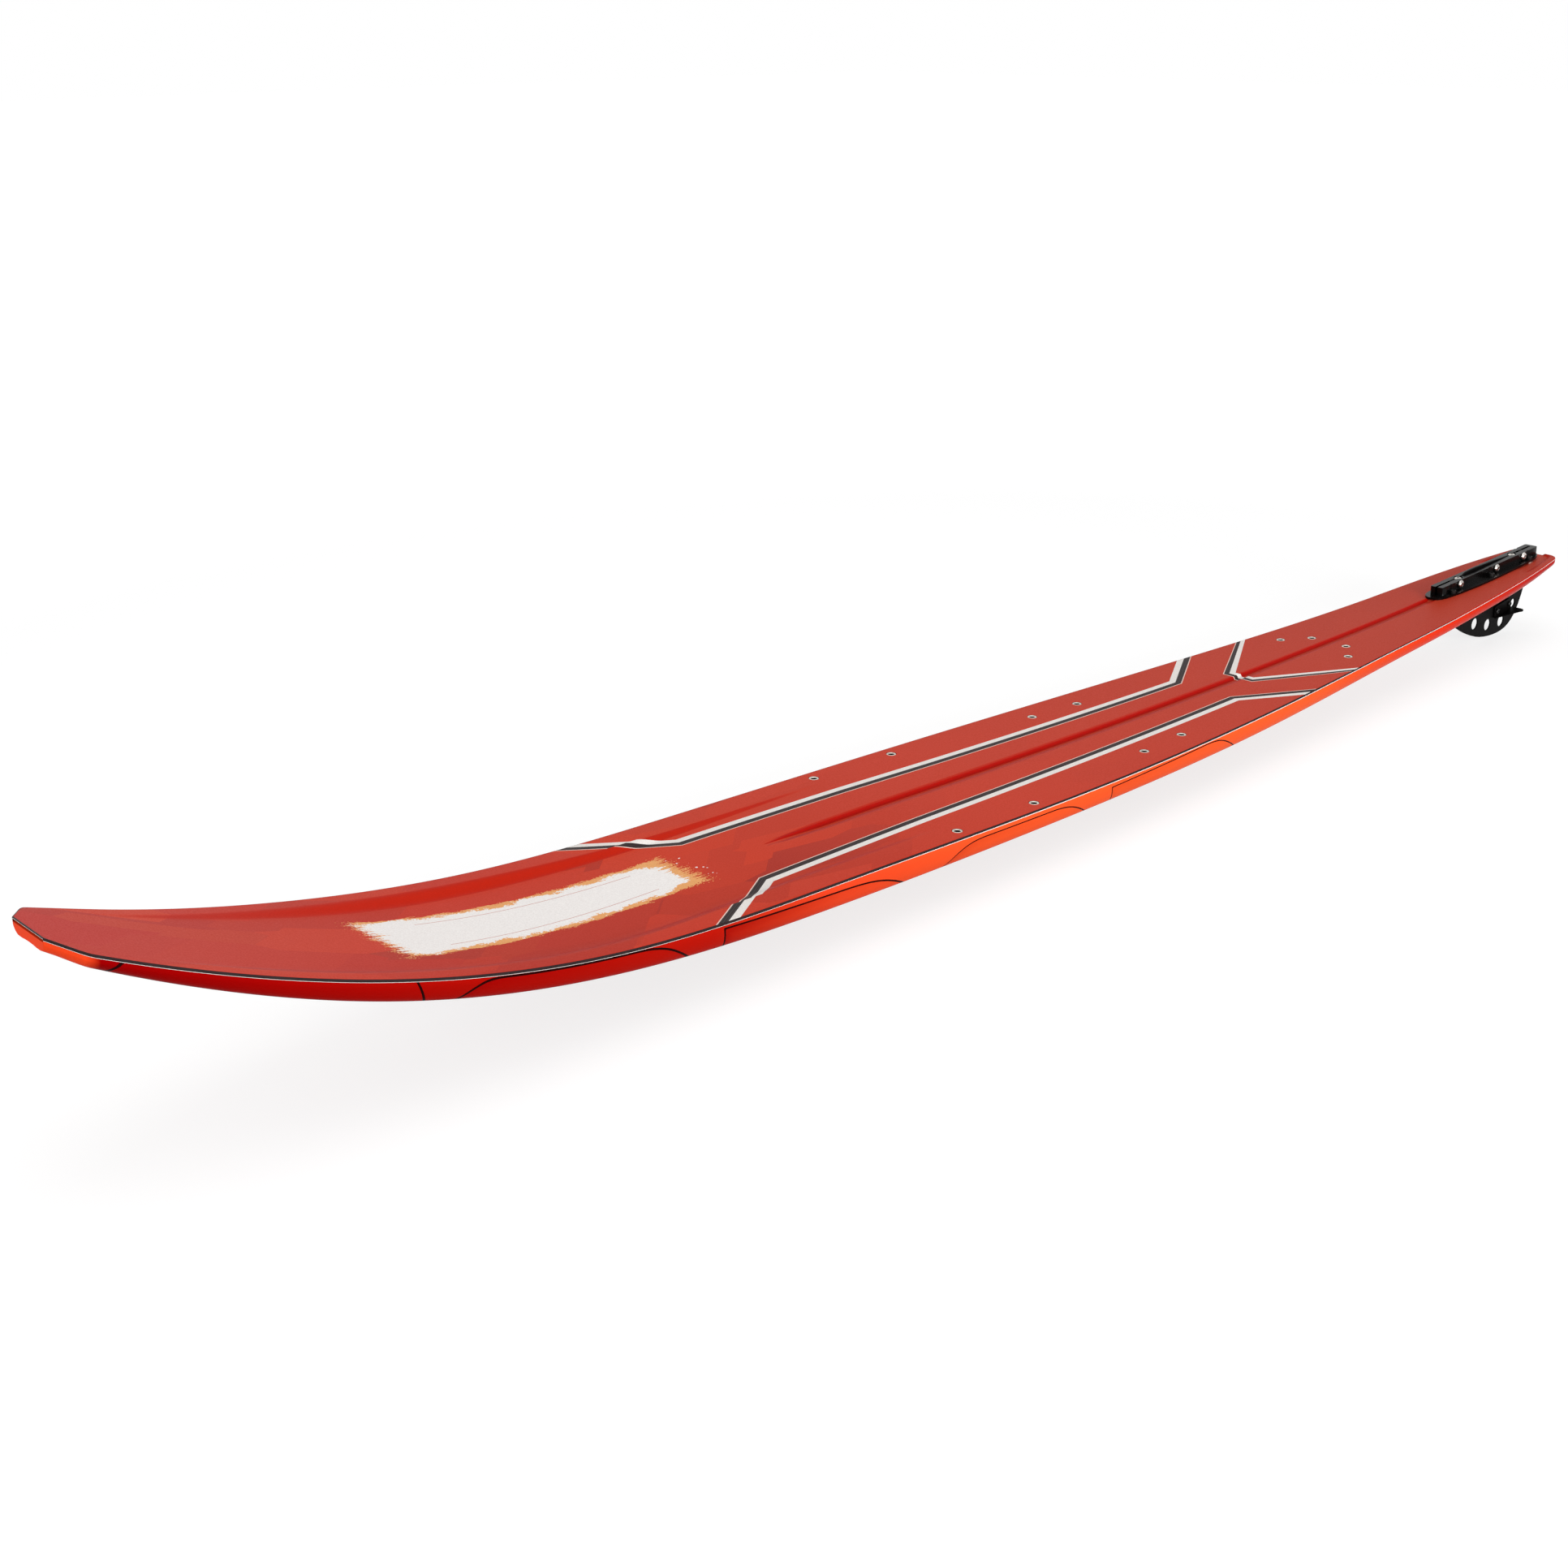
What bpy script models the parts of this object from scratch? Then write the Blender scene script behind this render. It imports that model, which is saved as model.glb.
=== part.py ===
# Slalom water ski with an adjustable fin block, fin and wing.
# Metres, +Z up. The nose points to -Y and the tail to +Y. The box is centred on X and Y,
# and Z = 0 is the lowest point of the fin.
import math

import bmesh
import bpy
import numpy as np
from mathutils import Matrix, Vector

# Outline of the ski. Each row is a station: share of the length from the nose,
# half width, height of the deck edge, and height from deck edge to base edge.
ski_length = 1.695
stations = [
    (0.0000, 0.0386, 0.1105, 0.0097),
    (0.0183, 0.0480, 0.0971, 0.0116),
    (0.0377, 0.0558, 0.0835, 0.0134),
    (0.1085, 0.0773, 0.0436, 0.0175),
    (0.2029, 0.0889, 0.0132, 0.0193),
    (0.3209, 0.0901, 0.0039, 0.0230),
    (0.4684, 0.0895, 0.0000, 0.0211),
    (0.6454, 0.0758, 0.0000, 0.0203),
    (0.7930, 0.0567, 0.0054, 0.0172),
]
# Towards the tail the deck is straight, because the fin block is bolted to it there.
straight_length = 0.251
straight_rise = 0.0134
straight_start_height = 0.0090
straight_shares = [
    (0.00, 0.0505, 0.0160),
    (0.40, 0.0433, 0.0152),
    (0.80, 0.0325, 0.0138),
    (1.00, 0.0247, 0.0115),
]
# The nose is blunt: half width of its front edge, then the width gained for each metre aft
nose_front_half = 0.0198
nose_chamfer = 1.6155
nose_rounding = 0.004
tail_corner = 0.009

# Laminates
deck_sheet = 0.0012
shell_wall = 0.0016
layer_gap = 0.0003
core_gap = 0.0006
end_wall_gap = 0.0008
end_wall = 0.0030
section_count = 28
end_zone = 0.0195
nose_shares = (0.0, 0.36, 0.72)
tail_shares = (0.0, 0.05, 0.2, 0.47, 0.8)
same_point = 0.00002
bevel_share = 0.30
land_share = 0.35
section_grading = 1.2
mark_clearance = 0.006
edge_land = 0.0046
bevel_inset = 0.0085
base_land = 0.0075
tunnel_depth = 0.0035
edge_round = 0.0009
edge_band = 0.003
core_edge_band = 0.004
core_edge_step = 0.0005

# Recess in the forebody between the two side ridges: distance from the nose, lip, wall, depth
scoop_rows = [
    (0.053, 0.044, 0.004, 0.0000),
    (0.143, 0.060, 0.012, 0.0018),
    (0.263, 0.073, 0.016, 0.0046),
    (0.373, 0.075, 0.014, 0.0044),
    (0.473, 0.069, 0.010, 0.0028),
    (0.573, 0.067, 0.007, 0.0012),
    (0.673, 0.068, 0.005, 0.0000),
]
tail_rim = 0.0055
tail_rim_wall = 0.0035
tail_rim_height = 0.0018
tail_rim_length = 0.080

# Centre groove
groove_half = 0.0046
groove_front_share = 0.45
groove_depth = 0.0024
groove_start = 0.552
groove_taper = 0.060
groove_run_out = 0.006
groove_under_block = 0.004

# Binding inserts: distance from the tail end, half spacing
insert_rows = [
    (1.0175, 0.0780),
    (0.9285, 0.0776),
    (0.7680, 0.0613),
    (0.7115, 0.0573),
    (0.4253, 0.0378),
    (0.4000, 0.0192),
]
insert_radius = 0.0041
insert_flange_radius = 0.0055
insert_flange = 0.0016
insert_length = 0.0095
insert_bore = 0.00255
insert_bore_depth = 0.0080
insert_floor = 0.0010
fit_gap = 0.0003
round_sides = 12

# Fin block, in its own frame: s runs aft along the deck, h is the height above the deck
block_from_tail = 0.0110
block_length = 0.2060
# Plan of the flange from rear to front: share of its length, half width
flange_rows = [
    (0.000, 0.0060),
    (0.024, 0.0092),
    (0.063, 0.0116),
    (0.126, 0.0130),
    (0.248, 0.0144),
    (0.466, 0.0158),
    (0.665, 0.0158),
    (0.838, 0.0138),
    (0.935, 0.0114),
    (0.964, 0.0098),
    (0.983, 0.0074),
    (0.995, 0.0040),
]
flange_thick = 0.0024
rail_half = 0.0070
rail_height = 0.0110
rail_front_setback = 0.0110
rail_end_setback = 0.0020
channel_half = 0.0015
channel_front_setback = 0.0045
channel_rear_setback = 0.0066
end_hole_radius = 0.0021
end_hole_height = 0.0080
scallop_radius = 0.0034
seat_depth = 0.0006
rail_corner = 0.0018

# Screws that hold the block: distance from the block's rear end
mount_screw_rows = [0.0230, 0.1015, 0.1780]
mount_screw_half = 0.0094
mount_insert_length = 0.0068
cap_head_radius = 0.0030
cap_head_height = 0.0034
cap_socket_radius = 0.0015
cap_socket_depth = 0.0018
cap_edge = 0.0005
mount_screw_length = 0.0062

# Clamp screws through both rails and the fin: distance from the block's rear end
clamp_screw_rows = [0.0326, 0.0882, 0.1602]
clamp_screw_height = 0.0070
shank_radius = 0.00175
button_head_radius = 0.0043
button_head_height = 0.0026
button_socket_radius = 0.00155

# Depth screws and their nuts
depth_screw_rows = [0.0441, 0.1528]
depth_seat_height = 0.0082
depth_screw_end = -0.0022
nut_length = 0.0100
nut_half = 0.0025
nut_height = 0.0028
nut_centre_height = 0.0004
nut_corner = 0.0010
screw_end_room = 0.0008
depth_travel = 0.0012
length_travel = 0.0012

# Slot in the ski: distance of its rear end from the tail, and its size
slot_from_tail = 0.0165
slot_length = 0.1850
deck_slot_half = 0.0032
base_slot_half = 0.0021

# Fin plate. Outline as (distance from the tail end, height from the deck line there)
fin_thick = 0.0016
fin_outline = [
    (0.1960, -0.0080),
    (0.1800, -0.0290),
    (0.1565, -0.0460),
    (0.1320, -0.0590),
    (0.1060, -0.0685),
    (0.0770, -0.0728),
    (0.0530, -0.0710),
    (0.0365, -0.0610),
    (0.0265, -0.0450),
    (0.0215, -0.0300),
    (0.0205, -0.0080),
]
tab_front_from_tail = 0.1840
tab_rear_from_tail = 0.0320
tab_height = 0.0110
tab_arch = 0.0031
arch_inset = 0.0062
# Top of the arch from rear to front: share of its length, share of its height
arch_shape = [(0.03, 0.12), (0.33, 0.55), (0.59, 0.85), (0.76, 1.00), (0.93, 0.72)]
tab_rear_corner = 0.0020
tab_front_corner = 0.0040
fin_curve_steps = 3
clamp_slot_corner = 0.0017
fin_hole_rows = [
    (0.1194, -0.0505, 0.0063),
    (0.0919, -0.0584, 0.0063),
    (0.0636, -0.0611, 0.0063),
    (0.0413, -0.0466, 0.0046),
]

# Wing: pivot, rear screw, and blade, in the fin's plane
wing_pivot_from_tail = 0.0768
wing_pivot_height = -0.0466
wing_screw_spacing = 0.0248
wing_pitch = 7.9
wing_sheet = 0.0012
wing_flange_up = 0.0060
wing_flange_down = 0.0066
wing_flange_front = 0.0050
wing_flange_rear = 0.0280
wing_span = 0.0170
wing_tip_back = 0.0300
wing_chord = 0.0370
wing_travel = 3.0
wing_screw_radius = 0.0015
wing_head_radius = 0.0029
wing_head_height = 0.0018
wing_nut_radius = 0.0029
wing_nut_height = 0.0022
wing_socket_radius = 0.0012
wing_flange_corner = 0.003
wing_tip_radius = 0.004
wing_tip_start = 145
wing_tip_sweep = -150
wing_rear_lip = 0.001
wing_weld_overlap = 0.0004
wing_slot_spare = 1.0

# Reach of the cutting solids beyond the faces that they cut
cut_low = -0.01
cut_high = 0.05
cut_side = 0.02

tail_y = ski_length / 2
nose_y = -ski_length / 2
block_rear_y = tail_y - block_from_tail
block_nose_y = block_rear_y - block_length
groove_end = block_nose_y + groove_under_block
slope = math.atan2(straight_rise, straight_length)
tilt_cos = math.cos(slope)
tilt_sin = math.sin(slope)


def clear_scene():
    for item in list(bpy.data.objects):
        bpy.data.objects.remove(item, do_unlink=True)


def natural_spline(xs, values):
    """Second derivatives of the natural cubic spline through the points, as a function."""
    xs = np.array(xs, float)
    values = np.array(values, float)
    steps = np.diff(xs)
    count = len(xs)
    system = np.eye(count)
    right = np.zeros(count)
    for k in range(1, count - 1):
        system[k, k - 1] = steps[k - 1]
        system[k, k] = 2 * (steps[k - 1] + steps[k])
        system[k, k + 1] = steps[k]
        right[k] = 6 * ((values[k + 1] - values[k]) / steps[k]
                        - (values[k] - values[k - 1]) / steps[k - 1])
    bend = np.linalg.solve(system, right)

    def at(x):
        k = int(np.clip(np.searchsorted(xs, x) - 1, 0, count - 2))
        a = (xs[k + 1] - x) / steps[k]
        b = 1 - a
        curve = (a ** 3 - a) * bend[k] + (b ** 3 - b) * bend[k + 1]
        return a * values[k] + b * values[k + 1] + curve * steps[k] ** 2 / 6

    return at


station_y = [nose_y + row[0] * ski_length for row in stations]
straight_y = tail_y - straight_length
tail_stations = [straight_y + row[0] * straight_length for row in straight_shares]
all_y = station_y + tail_stations
width_at = natural_spline(all_y, [row[1] for row in stations] + [row[1] for row in straight_shares])
drop_at = natural_spline(all_y, [row[3] for row in stations] + [row[2] for row in straight_shares])
edge_line = [row[2] for row in stations]
edge_line += [straight_start_height + row[0] * straight_rise for row in straight_shares]
curved_height = natural_spline(all_y, edge_line)


def deck_height(y):
    """Height of the deck edge, before the ski is lifted onto its fin."""
    if y >= straight_y:
        return straight_start_height + (y - straight_y) * straight_rise / straight_length
    return curved_height(y)


def corner_cut(distance, radius):
    """How far a rounded corner of the plan outline draws in at a distance from the end."""
    if distance >= radius:
        return 0.0
    return radius - math.sqrt(max(radius ** 2 - (radius - distance) ** 2, 0.0))


def half_width(y):
    """Half the width of the deck, with chamfers at the nose and rounded corners at the tail."""
    side = width_at(y)
    chamfer = nose_front_half + nose_chamfer * (y - nose_y)
    near = max(nose_rounding - abs(side - chamfer), 0.0)
    side = min(side, chamfer) - near ** 2 / (4 * nose_rounding)
    return side - corner_cut(tail_y - y, tail_corner)


scoop_at = [natural_spline([nose_y + row[0] for row in scoop_rows],
                           [row[k] for row in scoop_rows]) for k in (1, 2, 3)]
scoop_start = nose_y + scoop_rows[0][0]
scoop_end = nose_y + scoop_rows[-1][0]


def recess(y):
    """Lip, wall width and depth of the deck's recess: the forebody scoop and the tail rims."""
    half = half_width(y)
    if scoop_start < y < scoop_end:
        lip, wall, depth = [f(y) for f in scoop_at]
        return min(lip, half - 0.006), wall, max(depth, 0.0)
    aft = (y - (tail_y - tail_rim_length)) / tail_rim_length
    if aft > 0:
        fade = min(aft / 0.5, 1.0)
        return half - tail_rim, tail_rim_wall, tail_rim_height * fade * fade * (3 - 2 * fade)
    return 0.80 * half, 0.08 * half, 0.0


def groove(y):
    """Half width and depth of the centre groove."""
    run = (y - (nose_y + groove_start)) / groove_taper
    share = min(max(run, 0.0), 1.0)
    fade = min(max((groove_end - y) / groove_run_out, 0.0), 1.0)
    width_share = groove_front_share + (1 - groove_front_share) * share
    return groove_half * width_share, groove_depth * share * fade


def deck_profile(y):
    """Half of the deck's top from the middle to the edge, as (x, height) pairs."""
    half = half_width(y)
    top = deck_height(y)
    lip, wall, depth = recess(y)
    width, low = groove(y)
    floor = top - depth
    return [
        (0.0, floor - low),
        (0.45 * width, floor - low),
        (width, floor),
        (lip - wall, floor),
        (lip - 0.3 * wall, top - 0.25 * depth),
        (lip, top),
        (half - edge_band, top),
        (half, top - edge_round),
    ]


def deck_under(x, y):
    """Height of the deck sheet's underside, less the gap to the layer below."""
    half_top = deck_profile(y)
    top = np.interp(x, [point[0] for point in half_top], [point[1] for point in half_top])
    return float(top) - deck_sheet - layer_gap


def base_profile(y, inset, raised):
    """Half of the base from the rim to the middle, drawn in by an inset and raised inside."""
    half = half_width(y)
    top = deck_height(y)
    low = top - drop_at(y)
    tunnel = tunnel_depth * min(1.0, drop_at(y) / 0.016) * min(1.0, (half / 0.04) ** 2)
    bevel = min(bevel_inset, bevel_share * half)
    base_edge = half - bevel
    inner = base_edge - min(base_land, land_share * base_edge)
    rim = top - edge_round - deck_sheet - layer_gap
    return [
        (half - inset, rim),
        (half - inset, top - edge_land),
        (half - 0.18 * bevel - inset, top + (low - top) * 0.56 + 0.2 * raised),
        (half - 0.55 * bevel - inset, top + (low - top) * 0.86 + 0.6 * raised),
        (base_edge - 0.7 * inset, low + raised),
        (inner, low + raised),
        (0.5 * inner, low + 0.72 * tunnel + raised),
        (0.0, low + tunnel + raised),
    ]


def station_list(short):
    """Y of every section, close together at the ends, which start a short way in."""
    first = nose_y + end_zone
    last = tail_y - end_zone
    marks = [nose_y + groove_start, nose_y + groove_start + groove_taper,
             groove_end - groove_run_out, groove_end]
    shares = [(k / section_count) ** section_grading for k in range(section_count + 1)]
    middle = [first + (last - first) * share for share in shares]
    spaced = [y for y in middle if min(abs(y - mark) for mark in marks) > mark_clearance]
    front, rear = [[short + share * (end_zone - short) for share in shares]
                   for shares in (nose_shares, tail_shares)]
    return ([nose_y + d for d in front] + sorted(spaced + marks)
            + [tail_y - d for d in reversed(rear)])


def make_material(name, color, roughness, metallic):
    made = bpy.data.materials.new(name)
    made.use_nodes = True
    shader = made.node_tree.nodes["Principled BSDF"]
    shader.inputs["Base Color"].default_value = (*color, 1.0)
    shader.inputs["Roughness"].default_value = roughness
    shader.inputs["Metallic"].default_value = metallic
    return made


def finish_object(name, mesh_data, look, sharp=35):
    """Makes an object of a bmesh, facing out, shaded smooth up to a sharp angle."""
    bmesh.ops.remove_doubles(mesh_data, verts=mesh_data.verts, dist=0.0000005)
    bmesh.ops.recalc_face_normals(mesh_data, faces=mesh_data.faces)
    mesh = bpy.data.meshes.new(name)
    mesh_data.to_mesh(mesh)
    mesh_data.free()
    mesh.shade_smooth()
    mesh.set_sharp_from_angle(angle=math.radians(sharp))
    made = bpy.data.objects.new(name, mesh)
    bpy.context.collection.objects.link(made)
    if look is not None:
        mesh.materials.append(make_material(name + "_look", *look))
    return made


def add_loft(target, rings):
    """Adds a closed solid through rings of equal count, with a flat cap at each end."""
    rows = [[target.verts.new(p) for p in ring] for ring in rings]
    count = len(rows[0])
    for first, second in zip(rows, rows[1:]):
        for k in range(count):
            n = (k + 1) % count
            target.faces.new((first[k], first[n], second[n], second[k]))
    target.faces.new(rows[0])
    target.faces.new(list(reversed(rows[-1])))


def add_turned(target, profile, sides, place):
    """Adds a solid turned about its own Z. A profile row is (radius, height, hexagon or not)."""
    rings = []
    for radius, height, hexagon in profile:
        if radius == 0:
            rings.append([target.verts.new(place(0, 0, height))])
            continue
        ring = []
        for k in range(sides):
            angle = 2 * math.pi * k / sides
            reach = radius
            if hexagon:
                reach = radius / math.cos((angle + math.pi / 6) % (math.pi / 3) - math.pi / 6)
                reach *= math.cos(math.pi / 6)
            ring.append(target.verts.new(place(reach * math.cos(angle),
                                               reach * math.sin(angle), height)))
        rings.append(ring)
    for first, second in zip(rings, rings[1:]):
        for k in range(sides):
            n = (k + 1) % sides
            if len(first) == 1:
                target.faces.new((first[0], second[k], second[n]))
            elif len(second) == 1:
                target.faces.new((first[k], second[0], first[n]))
            else:
                target.faces.new((first[k], second[k], second[n], first[n]))


def add_prism(target, outline, place, low, high):
    """Adds a flat outline extruded from low to high. place turns (a, b, c) into world places."""
    bottom = [target.verts.new(place(a, b, low)) for a, b in outline]
    top = [target.verts.new(place(a, b, high)) for a, b in outline]
    count = len(outline)
    for k in range(count):
        n = (k + 1) % count
        target.faces.new((bottom[k], bottom[n], top[n], top[k]))
    target.faces.new(list(reversed(bottom)))
    target.faces.new(top)


def use_tool(target, tool, operation):
    """Applies a hidden tool solid to a target with an exact Boolean."""
    tool.hide_render = True
    tool.display_type = "WIRE"
    step = target.modifiers.new(tool.name, "BOOLEAN")
    step.operation = operation
    step.solver = "EXACT"
    step.object = tool


def tool_solid(name, fill):
    """Makes a tool object whose solids are added by a function."""
    data = bmesh.new()
    fill(data)
    return finish_object(name, data, None)


def circle(radius, sides, centre=(0.0, 0.0), start=0.0, sweep=2 * math.pi):
    """Points on a circle or, with a smaller sweep, on an arc with both ends."""
    last = sides if sweep >= 2 * math.pi - 0.001 else sides + 1
    return [(centre[0] + radius * math.cos(start + sweep * k / sides),
             centre[1] + radius * math.sin(start + sweep * k / sides)) for k in range(last)]


def racetrack(half_x, low, high, radius, steps=6):
    """Outline of a bar with rounded ends, from low to high along the second axis."""
    right_low = circle(radius, steps, (half_x - radius, low + radius), -math.pi / 2, math.pi / 2)
    right_high = circle(radius, steps, (half_x - radius, high - radius), 0, math.pi / 2)
    points = right_low + right_high[1:]
    points += [(-a, b) for a, b in reversed(points)]
    return [p for k, p in enumerate(points) if math.dist(p, points[k - 1]) > same_point]


block_rear_height = deck_height(block_rear_y)


def lowest_fin_point():
    """Lowest height of the fin in the level frame, before the lift."""
    return min(point[1] for point in fin_curve())


def from_block(x, s, h):
    """World place of a point s forward of the block's rear end and h above the deck."""
    y = block_rear_y - s * tilt_cos - h * tilt_sin
    z = block_rear_height - s * tilt_sin + h * tilt_cos
    return Vector((x, y, z + lift))


def spline_points(points, steps):
    """Catmull-Rom curve through points, with its end points kept."""
    full = [points[0]] + list(points) + [points[-1]]
    out = []
    for k in range(1, len(full) - 2):
        p0, p1, p2, p3 = [np.array(p, float) for p in full[k - 1:k + 3]]
        for step in range(steps):
            t = step / steps
            out.append(tuple(0.5 * (2 * p1 + (p2 - p0) * t
                                    + (2 * p0 - 5 * p1 + 4 * p2 - p3) * t * t
                                    + (3 * p1 - p0 - 3 * p2 + p3) * t ** 3)))
    out.append(tuple(points[-1]))
    return out


def fin_curve():
    """The fin's edge below the ski as (y, z) in the level frame, without the lift."""
    rows = [(tail_y - back, deck_height(tail_y - back) + down) for back, down in fin_outline]
    return spline_points(rows, fin_curve_steps)


lift = -lowest_fin_point()


def block_frame(y, z):
    """Position (s, h) in the block's frame of a place in the level frame."""
    dy = y - block_rear_y
    dz = z - block_rear_height
    return -(dy * tilt_cos + dz * tilt_sin), -dy * tilt_sin + dz * tilt_cos


def build_deck():
    rings = []
    for y in station_list(0.0):
        half_top = deck_profile(y)
        top = [(-x, z) for x, z in reversed(half_top)] + half_top[1:]
        rings.append([(x, y, z + lift) for x, z in top]
                     + [(x, y, z - deck_sheet + lift) for x, z in reversed(top)])
    data = bmesh.new()
    add_loft(data, rings)
    deck = finish_object("deck_shell", data, ((0.50, 0.055, 0.035), 0.55, 0.0))
    use_tool(deck, tool_solid("deck_cutter", cut_deck), "DIFFERENCE")


def build_base():
    """The base and side walls as one bowl: an outer sheet, an inner sheet and the rim."""
    data = bmesh.new()
    sheets = []
    for inset, raised, places in ((0.0, 0.0, station_list(0.0)),
                                  (shell_wall, shell_wall, station_list(end_wall))):
        rows = []
        for y in places:
            half_base = base_profile(y, inset, raised)
            ring = half_base + [(-x, z) for x, z in reversed(half_base[:-1])]
            rows.append([data.verts.new((x, y, z + lift)) for x, z in ring])
        for end in (0, -1):
            rim_height = rows[end][0].co.z
            cap = []
            for v in rows[end]:
                reach = rim_height
                if abs(v.co.x) < abs(rows[end][0].co.x) - 0.0005:
                    reach = min(reach, deck_under(abs(v.co.x), v.co.y) - end_wall_gap + lift)
                cap.append(data.verts.new((v.co.x, v.co.y, reach)))
            if end == 0:
                rows.insert(0, cap)
            else:
                rows.append(cap)
        for first, second in zip(rows, rows[1:]):
            for k in range(len(first) - 1):
                data.faces.new((first[k], first[k + 1], second[k + 1], second[k]))
        edge = [row[0] for row in rows] + rows[-1][1:-1] + [row[-1] for row in reversed(rows)]
        sheets.append(edge + list(reversed(rows[0][1:-1])))
    outer, inner = sheets
    for k in range(len(outer)):
        n = (k + 1) % len(outer)
        data.faces.new((outer[k], outer[n], inner[n], inner[k]))
    base = finish_object("base_shell", data, ((0.72, 0.07, 0.02), 0.30, 0.0))
    use_tool(base, tool_solid("base_cutter", cut_base), "DIFFERENCE")


def build_core():
    rings = []
    inset = shell_wall + core_gap
    for y in station_list(end_wall + inset):
        low_half = base_profile(y, inset, inset)
        under = [(x, z) for x, z in low_half[1:]]
        rim = half_width(y) - inset
        upper = deck_profile(y)
        top = [(x, z - deck_sheet - layer_gap) for x, z in upper if x < rim - core_edge_band]
        while len(top) < len(upper):
            top.append((rim - core_edge_step * (len(upper) - len(top)), top[-1][1]))
        right = under[::-1] + [(rim, deck_height(y) - edge_round - deck_sheet - layer_gap)]
        right = right + top[::-1][:-1]
        left = [(-x, z) for x, z in reversed(right[1:])]
        middle_top = (0.0, top[0][1])
        rings.append([(x, y, z + lift) for x, z in right + [middle_top] + left])
    data = bmesh.new()
    add_loft(data, rings)
    core = finish_object("foam_core", data, ((0.62, 0.56, 0.40), 0.9, 0.0))
    use_tool(core, tool_solid("core_cutter", cut_core), "DIFFERENCE")


def slot_outline(half):
    rear = tail_y - slot_from_tail
    return racetrack(half, rear - slot_length, rear, half, 4)


def flat_place(a, b, c):
    return Vector((a, b, c))


def insert_places():
    """World place of each binding insert's mouth on the deck, and its lean along the deck."""
    step = 0.002
    for back, half in insert_rows:
        y = tail_y - back
        rise = (deck_height(y + step) - deck_height(y - step)) / (2 * step)
        for side in (-1, 1):
            yield side * half, y, deck_height(y), math.atan(rise)


def insert_frame(x, y, z, lean):
    def place(a, b, c):
        return Vector((x + a, y + b * math.cos(lean) - c * math.sin(lean),
                       z + lift + b * math.sin(lean) + c * math.cos(lean)))
    return place


def mount_frames():
    """Frame of each screw that holds the block: its origin lies on the deck."""
    for s in mount_screw_rows:
        for side in (-1, 1):
            yield lambda a, b, c, s=s, side=side: from_block(side * mount_screw_half + a, s - b, c)


def plug(radius, low, high):
    return [(0, low, False), (radius, low, False), (radius, high, False), (0, high, False)]


def cut_deck(data):
    reach = 0.004
    for spot in insert_places():
        add_turned(data, plug(insert_radius + fit_gap, -reach, reach), round_sides,
                   insert_frame(*spot))
    for place in mount_frames():
        add_turned(data, plug(insert_radius + fit_gap, -reach, reach), round_sides, place)
    add_prism(data, slot_outline(deck_slot_half), flat_place, 0.0, 0.3)


def cut_core(data):
    for spot in insert_places():
        add_turned(data, plug(insert_flange_radius + fit_gap, -insert_length - fit_gap, 0.004),
                   round_sides, insert_frame(*spot))
    for place in mount_frames():
        add_turned(data, plug(insert_flange_radius + fit_gap, -mount_insert_length - fit_gap, 0.004),
                   round_sides, place)
    add_prism(data, slot_outline(deck_slot_half), flat_place, 0.0, 0.3)


def cut_base(data):
    add_prism(data, slot_outline(base_slot_half), flat_place, 0.0, 0.3)


def insert_profile(length, top):
    """Threaded insert: a plain barrel flush with the deck, a flange at its foot, a blind bore."""
    low = top - length
    foot = max(top - insert_bore_depth, low + insert_floor)
    return [
        (0, low, False),
        (insert_flange_radius, low, False),
        (insert_flange_radius, low + insert_flange, False),
        (insert_radius, low + insert_flange, False),
        (insert_radius, top, False),
        (insert_bore, top, False),
        (insert_bore, foot, False),
        (0, foot, False),
    ]


def build_inserts():
    brass = ((0.62, 0.60, 0.56), 0.32, 1.0)
    for number, spot in enumerate(insert_places(), 1):
        data = bmesh.new()
        add_turned(data, insert_profile(insert_length, 0.0), round_sides, insert_frame(*spot))
        finish_object("binding_insert_%02d" % number, data, brass)
    for number, place in enumerate(mount_frames(), 1):
        data = bmesh.new()
        add_turned(data, insert_profile(mount_insert_length, -0.0001), round_sides, place)
        finish_object("block_insert_%d" % number, data, brass)


def cap_screw_profile(seat, length):
    """Socket head cap screw along h, with its head's foot at the seat height."""
    top = seat + cap_head_height
    return [
        (0, seat - length, False),
        (shank_radius, seat - length, False),
        (shank_radius, seat, False),
        (cap_head_radius, seat, False),
        (cap_head_radius, top - cap_edge, False),
        (cap_head_radius - cap_edge, top, False),
        (cap_socket_radius, top, True),
        (cap_socket_radius, top - cap_socket_depth, True),
        (0, top - cap_socket_depth, False),
    ]


def button_screw_profile(seat, length, shank, head, height, socket):
    """Button head screw along its axis, with a domed head and a hexagon socket."""
    return [
        (0, seat - length, False),
        (shank, seat - length, False),
        (shank, seat, False),
        (head, seat, False),
        (head, seat + 0.25 * height, False),
        (0.90 * head, seat + 0.62 * height, False),
        (0.66 * head, seat + 0.92 * height, False),
        (1.15 * socket, seat + height, False),
        (socket, seat + height, True),
        (socket, seat + 0.42 * height, True),
        (0, seat + 0.42 * height, False),
    ]


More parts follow.
